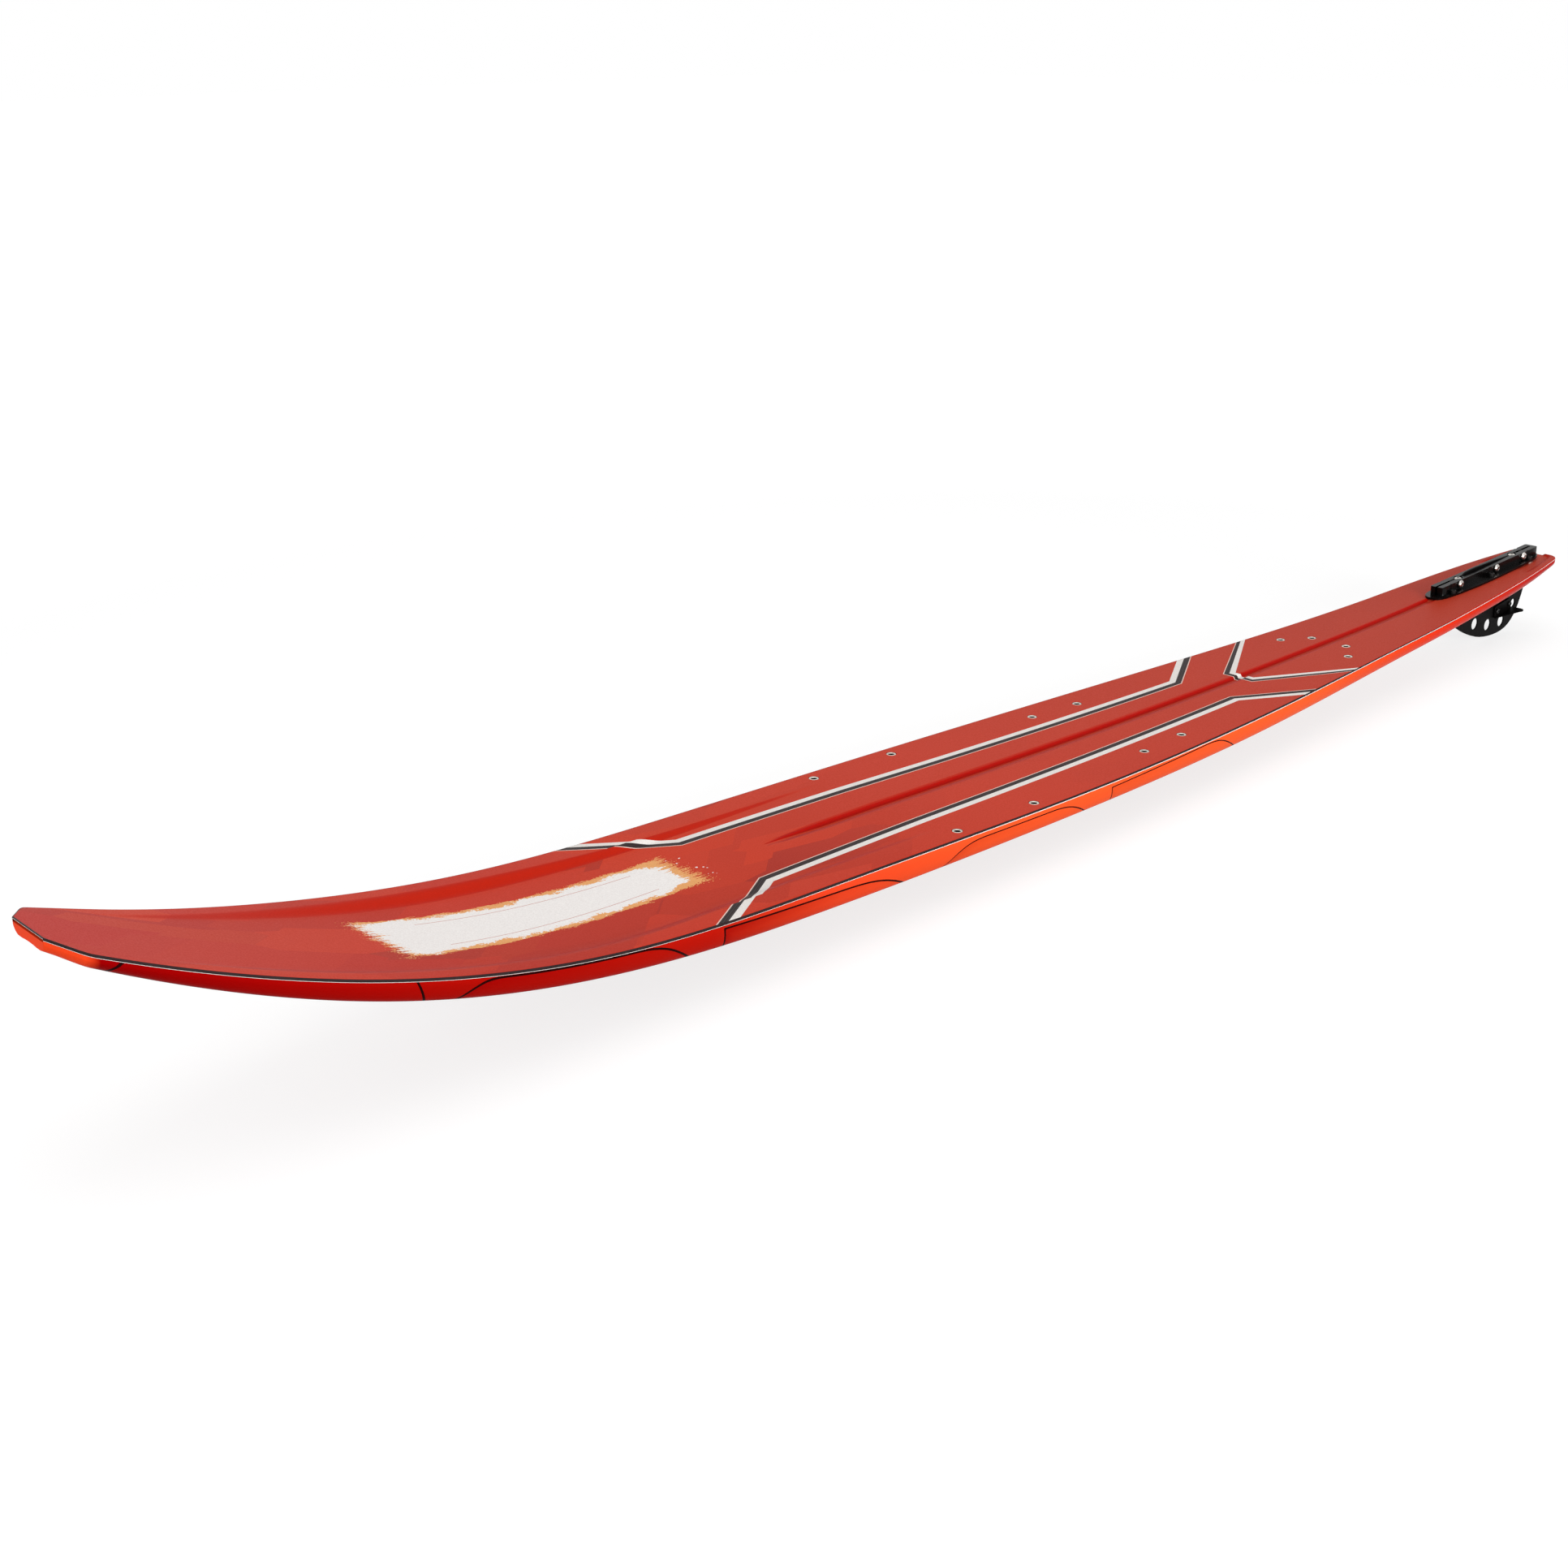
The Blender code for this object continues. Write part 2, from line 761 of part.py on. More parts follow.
def build_block():
    data = bmesh.new()
    side = [(half, share * block_length) for share, half in flange_rows]
    plan = side + [(0.0, block_length)] + [(-half, s) for half, s in reversed(side)]
    add_prism(data, plan, from_block, layer_gap, flange_thick)
    block = finish_object("fin_block", data, ((0.012, 0.012, 0.013), 0.30, 0.6))

    def rails(tool):
        front = block_length - rail_front_setback
        outline = racetrack(rail_half, rail_end_setback, front, rail_corner, 3)
        add_prism(tool, outline, from_block, 0.5 * flange_thick, rail_height)

    def channel(tool):
        outline = racetrack(channel_half, channel_rear_setback,
                            block_length - channel_front_setback, channel_half, 3)
        add_prism(tool, outline, from_block, cut_low, cut_high)

    def pockets(tool):
        top = nut_centre_height + nut_height / 2 + depth_travel + fit_gap
        for s in depth_screw_rows:
            reach = nut_length / 2 + fit_gap
            side = nut_half + fit_gap
            outline = [(-side, s - reach), (side, s - reach), (side, s + reach), (-side, s + reach)]
            add_prism(tool, outline, from_block, cut_low, top)

    def seats(tool):
        for s in depth_screw_rows:
            profile = [(0, 0.0, False), (shank_radius + fit_gap, 0.0, False),
                       (shank_radius + fit_gap, depth_seat_height, False),
                       (button_head_radius + fit_gap, depth_seat_height, False),
                       (button_head_radius + fit_gap, cut_high, False), (0, cut_high, False)]
            add_turned(tool, profile, 16, lambda a, b, c, s=s: from_block(a, s - b, c))

    def mount_holes(tool):
        for place in mount_frames():
            profile = [(0, cut_low, False), (shank_radius + fit_gap, cut_low, False),
                       (shank_radius + fit_gap, flange_thick - seat_depth, False),
                       (scallop_radius, flange_thick - seat_depth, False),
                       (scallop_radius, cut_high, False), (0, cut_high, False)]
            add_turned(tool, profile, 16, place)

    def clamp_holes(tool):
        for s in clamp_screw_rows:
            add_turned(tool, plug(shank_radius + fit_gap, -cut_side, cut_side), round_sides,
                       side_frame(s, clamp_screw_height))

    def end_hole(tool):
        add_turned(tool, plug(end_hole_radius, cut_low, channel_rear_setback + channel_half), 16,
                   lambda a, b, c: from_block(a, c, end_hole_height + b))

    for name, fill, operation in (("rail_solid", rails, "UNION"),
                                  ("channel_cutter", channel, "DIFFERENCE"),
                                  ("pocket_cutter", pockets, "DIFFERENCE"),
                                  ("seat_cutter", seats, "DIFFERENCE"),
                                  ("mount_hole_cutter", mount_holes, "DIFFERENCE"),
                                  ("clamp_hole_cutter", clamp_holes, "DIFFERENCE"),
                                  ("end_hole_cutter", end_hole, "DIFFERENCE")):
        use_tool(block, tool_solid(name, fill), operation)


def side_frame(s, h):
    """Frame of a cross screw: its own Z runs to +X at place (s, h) of the block."""
    return lambda a, b, c: from_block(c, s - b, h + a)


def build_block_screws():
    black = ((0.015, 0.015, 0.015), 0.35, 0.8)
    steel = ((0.66, 0.66, 0.64), 0.22, 1.0)
    seat = flange_thick - seat_depth + fit_gap
    for number, place in enumerate(mount_frames(), 1):
        data = bmesh.new()
        add_turned(data, cap_screw_profile(seat, mount_screw_length), round_sides, place)
        finish_object("block_screw_%d" % number, data, black)
    for number, s in enumerate(clamp_screw_rows, 1):
        data = bmesh.new()
        profile = button_screw_profile(rail_half + fit_gap, 2 * rail_half, shank_radius,
                                       button_head_radius, button_head_height,
                                       button_socket_radius)
        add_turned(data, profile, round_sides, side_frame(s, clamp_screw_height))
        finish_object("clamp_screw_%d" % number, data, steel)
    for number, s in enumerate(depth_screw_rows, 1):
        data = bmesh.new()
        start = depth_seat_height + fit_gap
        profile = button_screw_profile(start, start - depth_screw_end, shank_radius,
                                       button_head_radius, button_head_height,
                                       button_socket_radius)
        add_turned(data, profile, round_sides, lambda a, b, c, s=s: from_block(a, s - b, c))
        finish_object("depth_screw_%d" % number, data, steel)
    for number, s in enumerate(depth_screw_rows, 1):
        low = nut_centre_height - nut_height / 2
        data = bmesh.new()
        reach = nut_length / 2
        outline = racetrack(nut_half, s - reach, s + reach, nut_corner, 2)
        add_prism(data, outline, from_block, low, low + nut_height)
        nut = finish_object("depth_nut_%d" % number, data, steel)
        bore = tool_solid("depth_nut_bore_%d" % number, lambda tool, s=s: add_turned(
            tool, plug(shank_radius + fit_gap, cut_low, cut_high), round_sides,
            lambda a, b, c: from_block(a, s - b, c)))
        use_tool(nut, bore, "DIFFERENCE")


def fin_place(a, b, c):
    """World place of a point (s, h) of the fin's plane at side offset c."""
    return from_block(c, a, b)


def wing_centre():
    y = tail_y - wing_pivot_from_tail
    return block_frame(y, deck_height(y) + wing_pivot_height)


def wing_frame(a, b, c):
    """World place in the wing's frame: a aft of the pivot along the blade, b above it, c aside."""
    s, h = wing_centre()
    pitch = math.radians(wing_pitch) - slope
    return from_block(c, s - a * math.cos(pitch) + b * math.sin(pitch),
                      h + a * math.sin(pitch) + b * math.cos(pitch))


def build_fin():
    """Fin plate: curved edge below the ski, slotted tab in the block, arched top."""
    lower = [block_frame(y, z) for y, z in fin_curve()]
    front = tab_front_from_tail - block_from_tail
    rear = tab_rear_from_tail - block_from_tail
    arch_rear = depth_screw_rows[0] + arch_inset
    arch_front = depth_screw_rows[1] - arch_inset
    top = [(rear, 0.0), (rear, tab_height - tab_rear_corner),
           (rear + tab_rear_corner, tab_height), (arch_rear, tab_height)]
    top += [(arch_rear + (arch_front - arch_rear) * along, tab_height + tab_arch * up)
            for along, up in arch_shape]
    top += [(arch_front, tab_height), (front - tab_front_corner, tab_height),
            (front, tab_height - tab_front_corner), (front, 0.0)]
    data = bmesh.new()
    add_prism(data, lower + top, fin_place, -fin_thick / 2, fin_thick / 2)
    fin = finish_object("fin", data, ((0.014, 0.013, 0.012), 0.42, 0.5))

    def holes(tool):
        for back, down, radius in fin_hole_rows:
            y = tail_y - back
            add_prism(tool, circle(radius, 24, block_frame(y, deck_height(y) + down)),
                      fin_place, -cut_side, cut_side)
        reach = wing_screw_radius + fit_gap
        add_prism(tool, circle(reach, round_sides, wing_centre()), fin_place, -cut_side, cut_side)
        swing = math.radians(wing_travel + wing_slot_spare)
        outer = circle(wing_screw_spacing + reach, 4, (0, 0), -swing, 2 * swing)
        inner = circle(wing_screw_spacing - reach, 4, (0, 0), swing, -2 * swing)
        tip = wing_screw_spacing * math.sin(swing) + reach
        outline = outer + [(wing_screw_spacing, tip)] + inner + [(wing_screw_spacing, -tip)]
        add_prism(tool, outline, wing_frame, -cut_side, cut_side)

    half_s = shank_radius + length_travel + fit_gap
    half_h = shank_radius + depth_travel + fit_gap
    head = button_head_radius + length_travel + fit_gap

    def clamp_slots(tool):
        # a slot beside a depth screw's head is open at the top
        for s in clamp_screw_rows:
            beside = min(abs(s - other) for other in depth_screw_rows) < head + 2 * half_s
            high = cut_high if beside else half_h
            outline = [(s + a, clamp_screw_height + b)
                       for a, b in racetrack(half_s, -half_h, high, clamp_slot_corner, 3)]
            add_prism(tool, outline, fin_place, -cut_side, cut_side)

    def depth_slots(tool):
        wide = nut_length / 2 + length_travel + fit_gap
        low = nut_centre_height - nut_height / 2 - fit_gap
        high = nut_centre_height + nut_height / 2 + fit_gap
        foot = depth_screw_end - depth_travel - screw_end_room
        head_low = depth_seat_height - depth_travel - fit_gap
        steps = [(half_s, foot), (half_s, low), (wide, low), (wide, high), (half_s, high),
                 (half_s, head_low), (head, head_low), (head, cut_high)]
        for s in depth_screw_rows:
            outline = [(s + a, b) for a, b in steps] + [(s - a, b) for a, b in reversed(steps)]
            add_prism(tool, outline, fin_place, -cut_side, cut_side)

    use_tool(fin, tool_solid("fin_hole_cutter", holes), "DIFFERENCE")
    use_tool(fin, tool_solid("fin_clamp_cutter", clamp_slots), "DIFFERENCE")
    use_tool(fin, tool_solid("fin_depth_cutter", depth_slots), "DIFFERENCE")


def build_wing():
    """Two bent sheets, one on each side of the fin, with their two screws and nuts."""
    black = ((0.014, 0.013, 0.012), 0.40, 0.5)
    steel = ((0.10, 0.10, 0.10), 0.35, 0.9)
    inner = fin_thick / 2 + fit_gap
    outer = inner + wing_sheet
    low = -wing_flange_down
    flange = [(-wing_flange_front, low)]
    corner = wing_flange_corner
    flange += circle(corner, 3, (corner - wing_flange_front, wing_flange_up - corner),
                     math.pi, -math.pi / 2)
    flange += circle(corner, 3, (wing_flange_rear - corner, wing_flange_up - corner),
                     math.pi / 2, -math.pi / 2)
    flange += [(wing_flange_rear, low)]
    root = inner + wing_sheet / 2
    front = wing_weld_overlap - wing_flange_front
    blade = [(front, root), (front, outer + wing_rear_lip)]
    blade += circle(wing_tip_radius, 5, (wing_tip_back - wing_tip_radius / 2, wing_span - wing_tip_radius),
                    math.radians(wing_tip_start), math.radians(wing_tip_sweep))
    blade += [(wing_chord - wing_flange_front, outer + wing_rear_lip),
              (wing_chord - wing_flange_front, root)]
    for name, side in (("wing_left", -1), ("wing_right", 1)):
        data = bmesh.new()
        add_prism(data, flange, lambda a, b, c, side=side: wing_frame(a, b, side * c), inner, outer)
        wing = finish_object(name, data, black)

        def plate(tool, side=side):
            add_prism(tool, blade, lambda a, b, c: wing_frame(a, c, side * b),
                      low - wing_weld_overlap, low + wing_sheet - wing_weld_overlap)

        def bores(tool, side=side):
            for a0 in (0.0, wing_screw_spacing):
                add_turned(tool, plug(wing_screw_radius + fit_gap, -cut_side, cut_side), round_sides,
                           lambda a, b, c, a0=a0: wing_frame(a0 + a, b, c))

        use_tool(wing, tool_solid(name + "_blade", plate), "UNION")
        use_tool(wing, tool_solid(name + "_bores", bores), "DIFFERENCE")
    for name, a0 in (("front", 0.0), ("rear", wing_screw_spacing)):
        data = bmesh.new()
        reach = 2 * outer + wing_nut_height + 3 * fit_gap
        profile = button_screw_profile(outer + fit_gap, reach, wing_screw_radius,
                                       wing_head_radius, wing_head_height, wing_socket_radius)
        add_turned(data, profile, round_sides,
                   lambda a, b, c, a0=a0: wing_frame(a0 + a, b, c))
        finish_object("wing_screw_" + name, data, steel)
        data = bmesh.new()
        bore = wing_screw_radius + fit_gap
        near = -outer - fit_gap
        far = near - wing_nut_height
        ring = [(bore, far, False), (wing_nut_radius, far, True), (wing_nut_radius, near, True),
                (bore, near, False), (bore, far, False)]
        add_turned(data, ring, round_sides, lambda a, b, c, a0=a0: wing_frame(a0 + a, b, c))
        finish_object("wing_nut_" + name, data, steel)


def set_origin(name, place):
    """Moves an object's origin to a place on its joint's axis. Its shape stays where it is."""
    moved = bpy.data.objects[name]
    moved.data.transform(Matrix.Translation(-place))
    moved.location = place


def set_joint_origins():
    for number, s in enumerate(clamp_screw_rows, 1):
        set_origin("clamp_screw_%d" % number, from_block(0.0, s, clamp_screw_height))
    for number, s in enumerate(depth_screw_rows, 1):
        set_origin("depth_screw_%d" % number, from_block(0.0, s, depth_seat_height))
        set_origin("depth_nut_%d" % number, from_block(0.0, s, nut_centre_height))
    s, h = wing_centre()
    for name in ("fin", "wing_left", "wing_right", "wing_screw_front", "wing_nut_front",
                 "wing_screw_rear", "wing_nut_rear"):
        set_origin(name, from_block(0.0, s, h))


clear_scene()
build_deck()
build_base()
build_core()
build_inserts()
build_block()
build_block_screws()
build_fin()
build_wing()
set_joint_origins()
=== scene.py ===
# Slalom water ski: red laminate with stripes, black fin block, drilled fin and a small wing.
# Metres, nose towards -Y, deck up, lowest point of the fin at Z = 0.
import math

import bmesh
import bpy
import numpy as np
from mathutils import Matrix, Vector


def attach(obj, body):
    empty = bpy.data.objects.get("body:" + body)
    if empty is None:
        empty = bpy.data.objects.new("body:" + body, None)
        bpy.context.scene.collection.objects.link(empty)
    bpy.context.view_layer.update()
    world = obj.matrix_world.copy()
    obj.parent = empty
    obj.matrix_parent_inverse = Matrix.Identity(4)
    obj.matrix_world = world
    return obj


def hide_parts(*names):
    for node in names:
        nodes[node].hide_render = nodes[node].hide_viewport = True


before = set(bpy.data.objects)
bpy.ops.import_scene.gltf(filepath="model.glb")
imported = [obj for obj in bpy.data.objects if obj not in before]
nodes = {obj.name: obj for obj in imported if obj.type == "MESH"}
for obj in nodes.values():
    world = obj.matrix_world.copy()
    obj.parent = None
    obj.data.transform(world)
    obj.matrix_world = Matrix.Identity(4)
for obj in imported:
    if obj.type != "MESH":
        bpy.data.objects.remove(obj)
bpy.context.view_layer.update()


def linear(code):
    # sRGB hex to linear colour
    parts = [int(code[k:k + 2], 16) / 255 for k in (1, 3, 5)]
    return tuple(c / 12.92 if c <= 0.04045 else ((c + 0.055) / 1.055) ** 2.4 for c in parts) + (1.0,)


def wire(tree, node, inputs):
    # inputs by name or number, or in their order, each a link or a value
    for key, value in inputs.items() if isinstance(inputs, dict) else enumerate(inputs):
        if isinstance(value, bpy.types.NodeSocket):
            tree.links.new(value, node.inputs[key])
        else:
            node.inputs[key].default_value = value


def add(tree, kind, inputs=(), out=0, **settings):
    # one node with its settings and links; gives one of its outputs, or the node itself where out is None
    made = tree.nodes.new("ShaderNode" + kind)
    for name, value in settings.items():
        setattr(made, name, value)
    wire(tree, made, inputs)
    return made if out is None else made.outputs[out]


def newMaterial(name, inputs):
    made = bpy.data.materials.new(name)
    made.use_nodes = True
    shader = made.node_tree.nodes["Principled BSDF"]
    wire(made.node_tree, shader, inputs)
    return made, made.node_tree, shader


def newObject(name, data):
    made = bpy.data.objects.new(name, data)
    bpy.context.collection.objects.link(made)
    return made


print("camera and light")
view = {
    "place": (1.04752, -1.25378, 0.641851), "yaw": -0.819635, "pitch": 0.356368, "roll": -0.003769,
    "focalPixels": 2554.0, "imageWidth": 1932, "sensor": 36.0, "nearest": 0.01,
}


def makeCamera():
    # yaw turns about Z from +Y, pitch looks down, roll turns about the view line
    yaw, pitch, roll = view["yaw"], view["pitch"], view["roll"]
    ahead = Vector((math.sin(yaw) * math.cos(pitch), math.cos(yaw) * math.cos(pitch), -math.sin(pitch)))
    level = Vector((math.cos(yaw), -math.sin(yaw), 0.0))
    raised = level.cross(ahead)
    right = math.cos(roll) * level + math.sin(roll) * raised
    up = -math.sin(roll) * level + math.cos(roll) * raised
    data = bpy.data.cameras.new("camera")
    data.sensor_fit = "HORIZONTAL"
    data.sensor_width = view["sensor"]
    data.lens = view["sensor"] * view["focalPixels"] / view["imageWidth"]
    data.clip_start = view["nearest"]
    made = newObject("camera", data)
    made.matrix_world = Matrix.Translation(view["place"]) @ Matrix((right, up, -ahead)).transposed().to_4x4()
    bpy.context.scene.camera = made


studio = {
    "world": 0.45,
    # lamps: place, side of the square, watts; all look at one point
    "lamps": {"overhead": ((0.3, 0.1, 2.6), 2.6, 22.0), "camera side": ((2.5, 0.1, 0.56), 1.1, 62.0),
              "front": ((0.5, -2.8, 0.6), 1.4, 28.0), "far side": ((-2.2, 0.6, 1.4), 1.6, 5.0)},
    "lookAt": (0.0, 0.0, 0.05),
    # floor: half its side, how far below the ski, its own grey, and its glow by distance: from, to, glow at both
    "floorReach": 14.0, "floorBelow": 0.0015, "floor": "#9c9c9c", "glow": (1.2, 3.2, 0.73, 1.0),
}


def seenByEye(tree):
    # 1 for rays from the camera, off gloss and through glass
    path = add(tree, "LightPath", out=None)
    result = path.outputs["Is Camera Ray"]
    for name in ("Is Glossy Ray", "Is Transmission Ray"):
        result = add(tree, "Math", (result, path.outputs[name]), operation="MAXIMUM")
    return result


def makeStudio():
    world = bpy.data.worlds.new("paleStudio")
    bpy.context.scene.world = world
    world.use_nodes = True
    tree = world.node_tree
    tree.nodes.clear()
    strength = add(tree, "MapRange", {"Value": seenByEye(tree), "To Min": studio["world"], "To Max": 1.0})
    sky = add(tree, "Background", {"Color": (1, 1, 1, 1), "Strength": strength})
    add(tree, "OutputWorld", {"Surface": sky}, out=None)
    for name, (place, size, power) in studio["lamps"].items():
        data = bpy.data.lights.new(name, "AREA")
        data.size, data.energy = size, power
        away = Vector(place) - Vector(studio["lookAt"])
        lamp = newObject(name, data)
        lamp.matrix_world = Matrix.Translation(place) @ away.to_track_quat("Z", "Y").to_matrix().to_4x4()
    mesh = bpy.data.meshes.new("floor")
    reach = studio["floorReach"]
    corners = [(x * reach, y * reach, 0) for x, y in ((-1, -1), (1, -1), (1, 1), (-1, 1))]
    mesh.from_pydata(corners, [], [(0, 1, 2, 3)])
    floor = newObject("floor", mesh)
    floor.location.z = -studio["floorBelow"]  # clear of the fin's tip when the fin is at its deepest
    # painted studio floor: a dull white that glows a little, so its shadow stays faint
    made, tree, shader = newMaterial("paintedFloor", {
        "Base Color": linear(studio["floor"]), "Roughness": 0.9, "Specular IOR Level": 0.0,
        "Emission Color": (1, 1, 1, 1)})
    distance = add(tree, "VectorMath", (add(tree, "TexCoord", out="Object"),), out="Value", operation="LENGTH")
    rise = add(tree, "MapRange", (distance, *studio["glow"]))
    wire(tree, shader, {"Emission Strength": add(tree, "Math", (seenByEye(tree), rise), operation="MULTIPLY")})
    mesh.materials.append(made)


makeCamera()
makeStudio()


print("ski shape")
ski = {
    "length": 1.695,
    "lift": 0.054511,  # the fin's lowest point stands on the floor
    # share of the length, half width, height of the deck edge, drop from deck edge to base
    "stations": [(0.0000, 0.0386, 0.1105, 0.0097), (0.0183, 0.0480, 0.0971, 0.0116),
                 (0.0377, 0.0558, 0.0835, 0.0134), (0.1085, 0.0773, 0.0436, 0.0175),
                 (0.2029, 0.0889, 0.0132, 0.0193), (0.3209, 0.0901, 0.0039, 0.0230),
                 (0.4684, 0.0895, 0.0000, 0.0211), (0.6454, 0.0758, 0.0000, 0.0203),
                 (0.7930, 0.0567, 0.0054, 0.0172)],
    # straight tail: share of its length, half width, drop
    "straight": [(0.00, 0.0505, 0.0160), (0.40, 0.0433, 0.0152), (0.80, 0.0325, 0.0138), (1.00, 0.0247, 0.0115)],
    "straightLength": 0.251, "straightRise": 0.0134, "straightStart": 0.0090,
    # blunt nose: half width of its front edge, then width gained for each metre aft
    "noseHalf": 0.0198, "noseChamfer": 1.6155, "noseRounding": 0.004, "tailCorner": 0.009,
    # rows of the mesh: even ones between the ends, and closer ones over the last stretch of each end
    "sections": 300, "evenFrom": 0.022, "endStretch": 0.020, "endSections": 18,
}
deckShape = {
    "sheet": 0.0011, "edgeRound": 0.0009,
    # forebody scoop: distance from the nose, lip, wall width, depth; its lip stays inside the edge
    "scoop": [(0.053, 0.044, 0.004, 0.0000), (0.143, 0.060, 0.012, 0.0018), (0.263, 0.073, 0.016, 0.0046),
              (0.373, 0.075, 0.014, 0.0044), (0.473, 0.069, 0.010, 0.0028), (0.573, 0.067, 0.007, 0.0012),
              (0.673, 0.068, 0.005, 0.0000)],
    "lipInside": 0.006,
    # level deck between scoop and tail: the same steps, as shares of the half width, with no depth
    "levelLip": 0.80, "levelWall": 0.08,
    # low rims at the tail, at full height after a share of their length
    "tailRim": 0.0055, "tailWall": 0.0035, "tailDepth": 0.0018, "tailLength": 0.080, "tailFull": 0.5,
    # centre groove: it starts narrow, and its floor takes a share of its width
    "grooveHalf": 0.0046, "grooveDepth": 0.0024, "grooveStart": 0.552, "grooveTaper": 0.060,
    "grooveEnd": 0.6347, "grooveRunOut": 0.006, "grooveNarrow": 0.45, "grooveFloor": 0.55,
    # steps across half the deck: groove floor, groove wall, floor, wall, ridge, edge
    "steps": (3, 5, 12, 9, 8, 4),
}
baseShape = {
    "wall": 0.0010, "endWall": 0.0030, "edgeLand": 0.0046, "bevel": 0.0085, "bevelShare": 0.30,
    "land": 0.0075, "landShare": 0.35, "rim": 0.00205,
    # tunnel: its depth, and the drop and half width from which it is full
    "tunnel": 0.0035, "tunnelDrop": 0.016, "tunnelHalf": 0.04,
    # control points of the side's curve, as shares of its width and height
    "curve": ((0.05, 0.30), (0.45, 0.95)),
    "steps": (4, 14, 4, 8),
    # room around the inner sheet at both ends: along the ski, under the deck, at the sides
    "endRoom": 0.0032, "deckRoom": 0.0006, "sideRoom": 0.001,
}
noseY, tailY = -ski["length"] / 2, ski["length"] / 2
straightY = tailY - ski["straightLength"]
sharpAngle = math.radians(35)


def spline(xs, values):
    # natural cubic spline: its second derivatives solve one tridiagonal system
    xs, values = np.array(xs, float), np.array(values, float)
    h = np.diff(xs)
    system = np.eye(len(xs))
    right = np.zeros(len(xs))
    inner = np.arange(1, len(xs) - 1)
    system[inner, inner - 1], system[inner, inner + 1] = h[:-1], h[1:]
    system[inner, inner] = 2 * (h[:-1] + h[1:])
    right[inner] = 6 * (np.diff(values)[1:] / h[1:] - np.diff(values)[:-1] / h[:-1])
    bend = np.linalg.solve(system, right)

    def at(x):
        x = np.asarray(x, float)
        k = np.clip(np.searchsorted(xs, x) - 1, 0, len(h) - 1)
        a = (xs[k + 1] - x) / h[k]
        b = 1 - a
        return (a * values[k] + b * values[k + 1]
                + ((a ** 3 - a) * bend[k] + (b ** 3 - b) * bend[k + 1]) * h[k] ** 2 / 6)
    return at


stationY = [noseY + row[0] * ski["length"] for row in ski["stations"]]
stationY += [straightY + row[0] * ski["straightLength"] for row in ski["straight"]]
widthAt = spline(stationY, [r[1] for r in ski["stations"]] + [r[1] for r in ski["straight"]])
dropAt = spline(stationY, [r[3] for r in ski["stations"]] + [r[2] for r in ski["straight"]])
curvedHeight = spline(stationY, [r[2] for r in ski["stations"]]
                      + [ski["straightStart"] + r[0] * ski["straightRise"] for r in ski["straight"]])
scoopYs = [noseY + r[0] for r in deckShape["scoop"]]
scoopAt = [spline(scoopYs, [r[k] for r in deckShape["scoop"]]) for k in (1, 2, 3)]


def deckHeight(y):
    # the rocker curve, and a straight line over the tail
    straight = ski["straightStart"] + (y - straightY) * ski["straightRise"] / ski["straightLength"]
    return np.where(y >= straightY, straight, curvedHeight(y)) + ski["lift"]


def cornerCut(distance, radius):
    # how far a rounded plan corner draws in: r - sqrt(r^2 - (r - d)^2)
    inside = np.clip(radius - distance, 0, radius)
    return radius - np.sqrt(radius ** 2 - inside ** 2)


def halfWidth(y):
    # the smaller of the side's curve and the nose's chamfer, blended where they meet, less the tail's corner
    side = widthAt(y)
    chamfer = ski["noseHalf"] + ski["noseChamfer"] * (y - noseY)
    near = np.clip(ski["noseRounding"] - np.abs(side - chamfer), 0, None)
    side = np.minimum(side, chamfer) - near ** 2 / (4 * ski["noseRounding"])
    return side - cornerCut(tailY - y, ski["tailCorner"])


def smooth(t):
    # 3t^2 - 2t^3 between 0 and 1
    t = np.clip(t, 0, 1)
    return t * t * (3 - 2 * t)


def recess(y):
    # lip, wall and depth of the scoop ahead and of the low rims at the tail
    shape, half = deckShape, halfWidth(y)
    lip, wall, depth = [f(y) for f in scoopAt]
    ahead = (y > noseY + shape["scoop"][0][0]) & (y < noseY + shape["scoop"][-1][0])
    aft = (y - (tailY - shape["tailLength"])) / shape["tailLength"]
    behindLip = np.where(aft > 0, half - shape["tailRim"], shape["levelLip"] * half)
    behindWall = np.where(aft > 0, shape["tailWall"], shape["levelWall"] * half)
    behindDepth = np.where(aft > 0, shape["tailDepth"] * smooth(aft / shape["tailFull"]), 0)
    lip = np.where(ahead, np.minimum(lip, half - shape["lipInside"]), behindLip)
    return lip, np.where(ahead, wall, behindWall), np.where(ahead, np.maximum(depth, 0), behindDepth)


def groove(y):
    # half width and depth: both grow over the taper, and the depth runs out at the block
    shape = deckShape
    share = np.clip((y - (noseY + shape["grooveStart"])) / shape["grooveTaper"], 0, 1)
    fade = np.clip((shape["grooveEnd"] - y) / shape["grooveRunOut"], 0, 1)
    wide = shape["grooveHalf"] * (shape["grooveNarrow"] + (1 - shape["grooveNarrow"]) * share)
    return wide, shape["grooveDepth"] * share * fade


def sectionYs():
    # even sections, closer together where the plan corners turn
    even = noseY + ski["length"] * np.linspace(0, 1, ski["sections"])
    even = even[(even > noseY + ski["evenFrom"]) & (even < tailY - ski["evenFrom"])]
    turn = np.linspace(0, math.pi / 2, ski["endSections"])
    ends = noseY + ski["endStretch"] * (1 - np.cos(turn))
    start, stop = noseY + deckShape["grooveStart"], deckShape["grooveEnd"]
    marks = [straightY, start, start + deckShape["grooveTaper"], stop - deckShape["grooveRunOut"], stop]
    return np.unique(np.round(np.concatenate([ends, even, marks, -ends]), 7))


